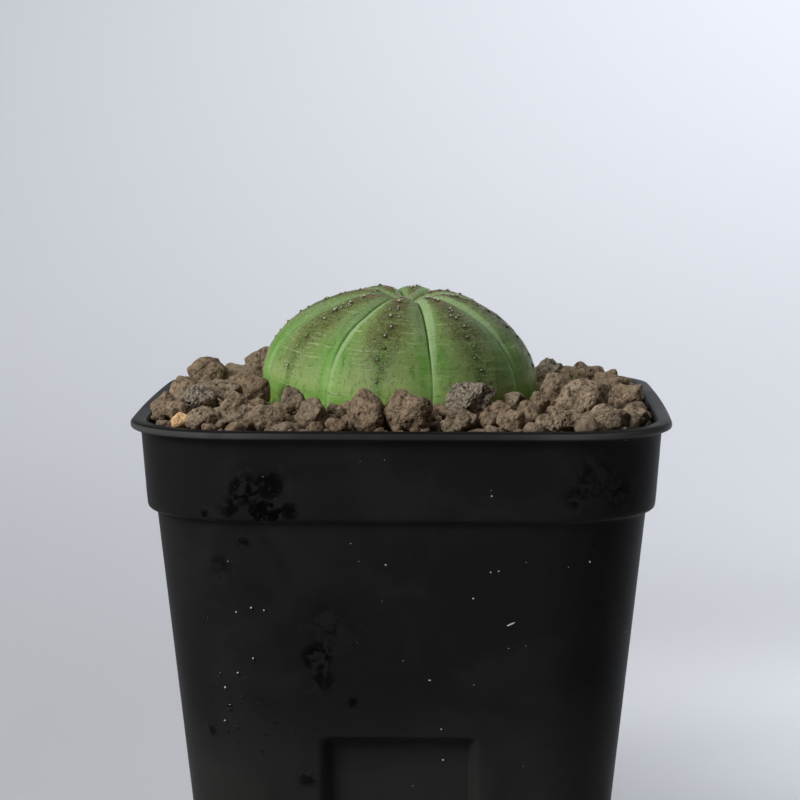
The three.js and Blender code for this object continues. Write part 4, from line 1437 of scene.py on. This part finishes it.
def drop_grains(lying, count, least, most, head_room=0.5, sunk=0.0):
    """Grains that fall one by one on those that lie there, and all that lie there then. Each
    tries some places and stays in the lowest, and is left out if that isn't deep enough."""
    grains = []
    for _ in range(count):
        radius = least + (most - least) * draw() ** 1.4
        best = None
        for _ in range(TRIES):
            x = bed_half * (2 * draw() - 1)
            y = bed_half * (2 * draw() - 1)
            from_plant = math.hypot(x - PLANT_AT.x, y - PLANT_AT.y) - GLOBE_RADIUS
            if from_wall(x, y) < 0.9 * radius or from_plant < GLOBE_CLEAR * radius:
                continue
            z = heap_top(share_out(x, y)) - FILL_BELOW_HEAP + 0.3 * radius
            apart = PACKING * (radius + lying[:, 3])
            gap = (lying[:, 0] - x) ** 2 + (lying[:, 1] - y) ** 2
            near = gap < apart * apart
            if near.any():
                rest = lying[near, 2] + np.sqrt(apart[near] ** 2 - gap[near])
                z = max(z, float(rest.max()))
            if best is None or z < best[2]:
                best = (x, y, z)
        semi = tuple(s * radius for s in (1.15, 0.8 + 0.3 * draw(), 0.7 + 0.3 * draw()))
        turn = (0.9 * (draw() - 0.5), 0.9 * (draw() - 0.5), 2 * math.pi * draw())
        form = math.floor(GRAIN_FORMS * draw())
        if best and best[2] + head_room * radius <= heap_top(share_out(*best[:2])) - sunk:
            lying = np.vstack([lying, (*best, radius)])
            grains.append({"at": best, "semi": semi, "turn": turn, "form": form})
    return grains, lying


# Whole grains of three sizes, then what fills in between them, down to crumbs.
lying = np.array([(*stone["at"], sum(stone["semi"]) / 3) for stone in stones])
coarse, lying = drop_grains(lying, 34, 2.7, 3.8)
medium, lying = drop_grains(lying, 66, 1.9, 2.7)
small, lying = drop_grains(lying, 40, 1.3, 1.9)
filling, lying = drop_grains(lying, 260, 1.1, 2.2, 0.4, 0.5)
fine_fill, lying = drop_grains(lying, 500, 0.6, 1.1, 0.4, 1.3)
crumbs, lying = drop_grains(lying, 400, 0.3, 0.6, 0.0, 1.8)

brown = stone_kinds["brown"]
in_bed = [s for s in stones if not s["loose"] and s["kind"] != "hollow"]
coarse_forms = form_set("coarse_form", 4)
medium_forms = form_set("medium_form", 3)
fine_forms = form_set("fine_form", 2)
crumb_wear = plain_wear | {"Lumps": 1.3, "Chips": 0.5, "Crumb_Height": 0.0, "Pit_Depth": 0.0}
beds = [
    lay_grains("grit_stones", in_bed, stone_forms, brown, plain_wear, BED_TINT),
    lay_grains("grit_coarse", coarse + medium, coarse_forms, brown, plain_wear, BED_TINT),
    lay_grains("grit_medium", small + filling, medium_forms, brown, plain_wear, BED_TINT),
    lay_grains("grit_fine", fine_fill + crumbs, fine_forms, brown, crumb_wear, CRUMB_TINT),
]
fill_outline = rounded_square([-1 + k / 8 for k in range(16)], 6)
fill_rows = [
    (0, FLOOR_TOP + CLEARANCE),
    (body_half(FLOOR_TOP) - WALL - 3.0, FLOOR_TOP + CLEARANCE),
    (body_half(37) - WALL - 3.0, 37.0),
    (BODY_TOP_HALF - WALL - 0.6, 72.0),
    (bed_half - 0.3, 84.0),
    *((s * bed_half, heap_top(s) - FILL_BELOW_HEAP) for s in np.linspace(0.985, 0.1, 28)),
    (0, heap_top(0) - FILL_BELOW_HEAP),
]
fill_points, fill_faces = square_lathe(fill_rows, fill_outline)
packed_fill = mesh_piece("packed_fill", fill_points, fill_faces)
packed_fill.data.shade_smooth()
packed_fill.data.materials.append(brown)
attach(packed_fill, "root")
for piece in (*beds, packed_fill):
    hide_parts("grit_bed")

for forms in (big_forms, stone_forms, coarse_forms, medium_forms, fine_forms):
    bpy.data.batch_remove([*forms.objects, forms])


# ---------- Floor, backdrop and light ----------
# A plain pale sweep. The key light is soft and comes from the upper left of the front, a weak
# one from above the back, and three more brighten the sweep behind and to the right.

SWEEP_PALE = (0.640, 0.651, 0.683, 1.0)
SKY = (0.93, 0.95, 1.0, 1.0)
SKY_STRENGTH = 0.025
SWEEP_BEND_AT = 500
SWEEP_BEND = 700

bend = [
    (SWEEP_BEND_AT + SWEEP_BEND * math.sin(a), SWEEP_BEND * (1 - math.cos(a)))
    for a in np.linspace(0.05, math.pi / 2, 20)
]
rows = [(-1600, 0), (SWEEP_BEND_AT, 0), *bend, (SWEEP_BEND_AT + SWEEP_BEND, 2600)]
sweep_points = [(x, y, z) for y, z in rows for x in (-2200, 2200)]
sweep_faces = [(2 * i, 2 * i + 1, 2 * i + 3, 2 * i + 2) for i in range(len(rows) - 1)]
sweep = mesh_piece("sweep", sweep_points, sweep_faces)
sweep.data.shade_smooth()
paper, tree, shader = new_finish("pale_sweep", Roughness=0.9, Specular_IOR_Level=0.1)
shader.inputs["Base Color"].default_value = SWEEP_PALE
sweep.data.materials.append(paper)

WHITE = (1.0, 1.0, 1.0)
DAYLIGHT = (0.95, 0.97, 1.0)


def soft_light(name, at, towards, size, power, colour=WHITE, spread=180):
    lamp = bpy.data.lights.new(name, "AREA")
    lamp.shape = "SQUARE"
    lamp.size = size
    lamp.energy = power
    lamp.color = colour
    lamp.spread = math.radians(spread)
    light = put(name, lamp)
    light.location = at
    aim = Vector(towards) - Vector(at)
    light.rotation_euler = aim.to_track_quat("-Z", "Y").to_euler()


soft_light("key", (-0.52, -0.46, 0.49), (0, 0, 0.09), 0.32, 4.9)
soft_light("top", (0.0, 0.25, 1.10), (0, 0, 0.09), 0.9, 1.6)
soft_light("backdrop", (0.9, 0.75, 1.5), (0.27, 1.25, 0.42), 0.7, 10.2, DAYLIGHT, 90)
soft_light("floor", (0.38, 0.30, 0.55), (0.30, 0.28, 0), 0.4, 0.34, DAYLIGHT, 66)
soft_light("near_floor", (0.20, 0.16, 0.30), (0.13, 0.08, 0), 0.12, 0.07, DAYLIGHT, 50)

world = bpy.data.worlds.new("studio")
bpy.context.scene.world = world
world.use_nodes = True
background = world.node_tree.nodes["Background"].inputs
background["Color"].default_value = SKY
background["Strength"].default_value = SKY_STRENGTH
bpy.context.scene.view_settings.view_transform = "Standard"
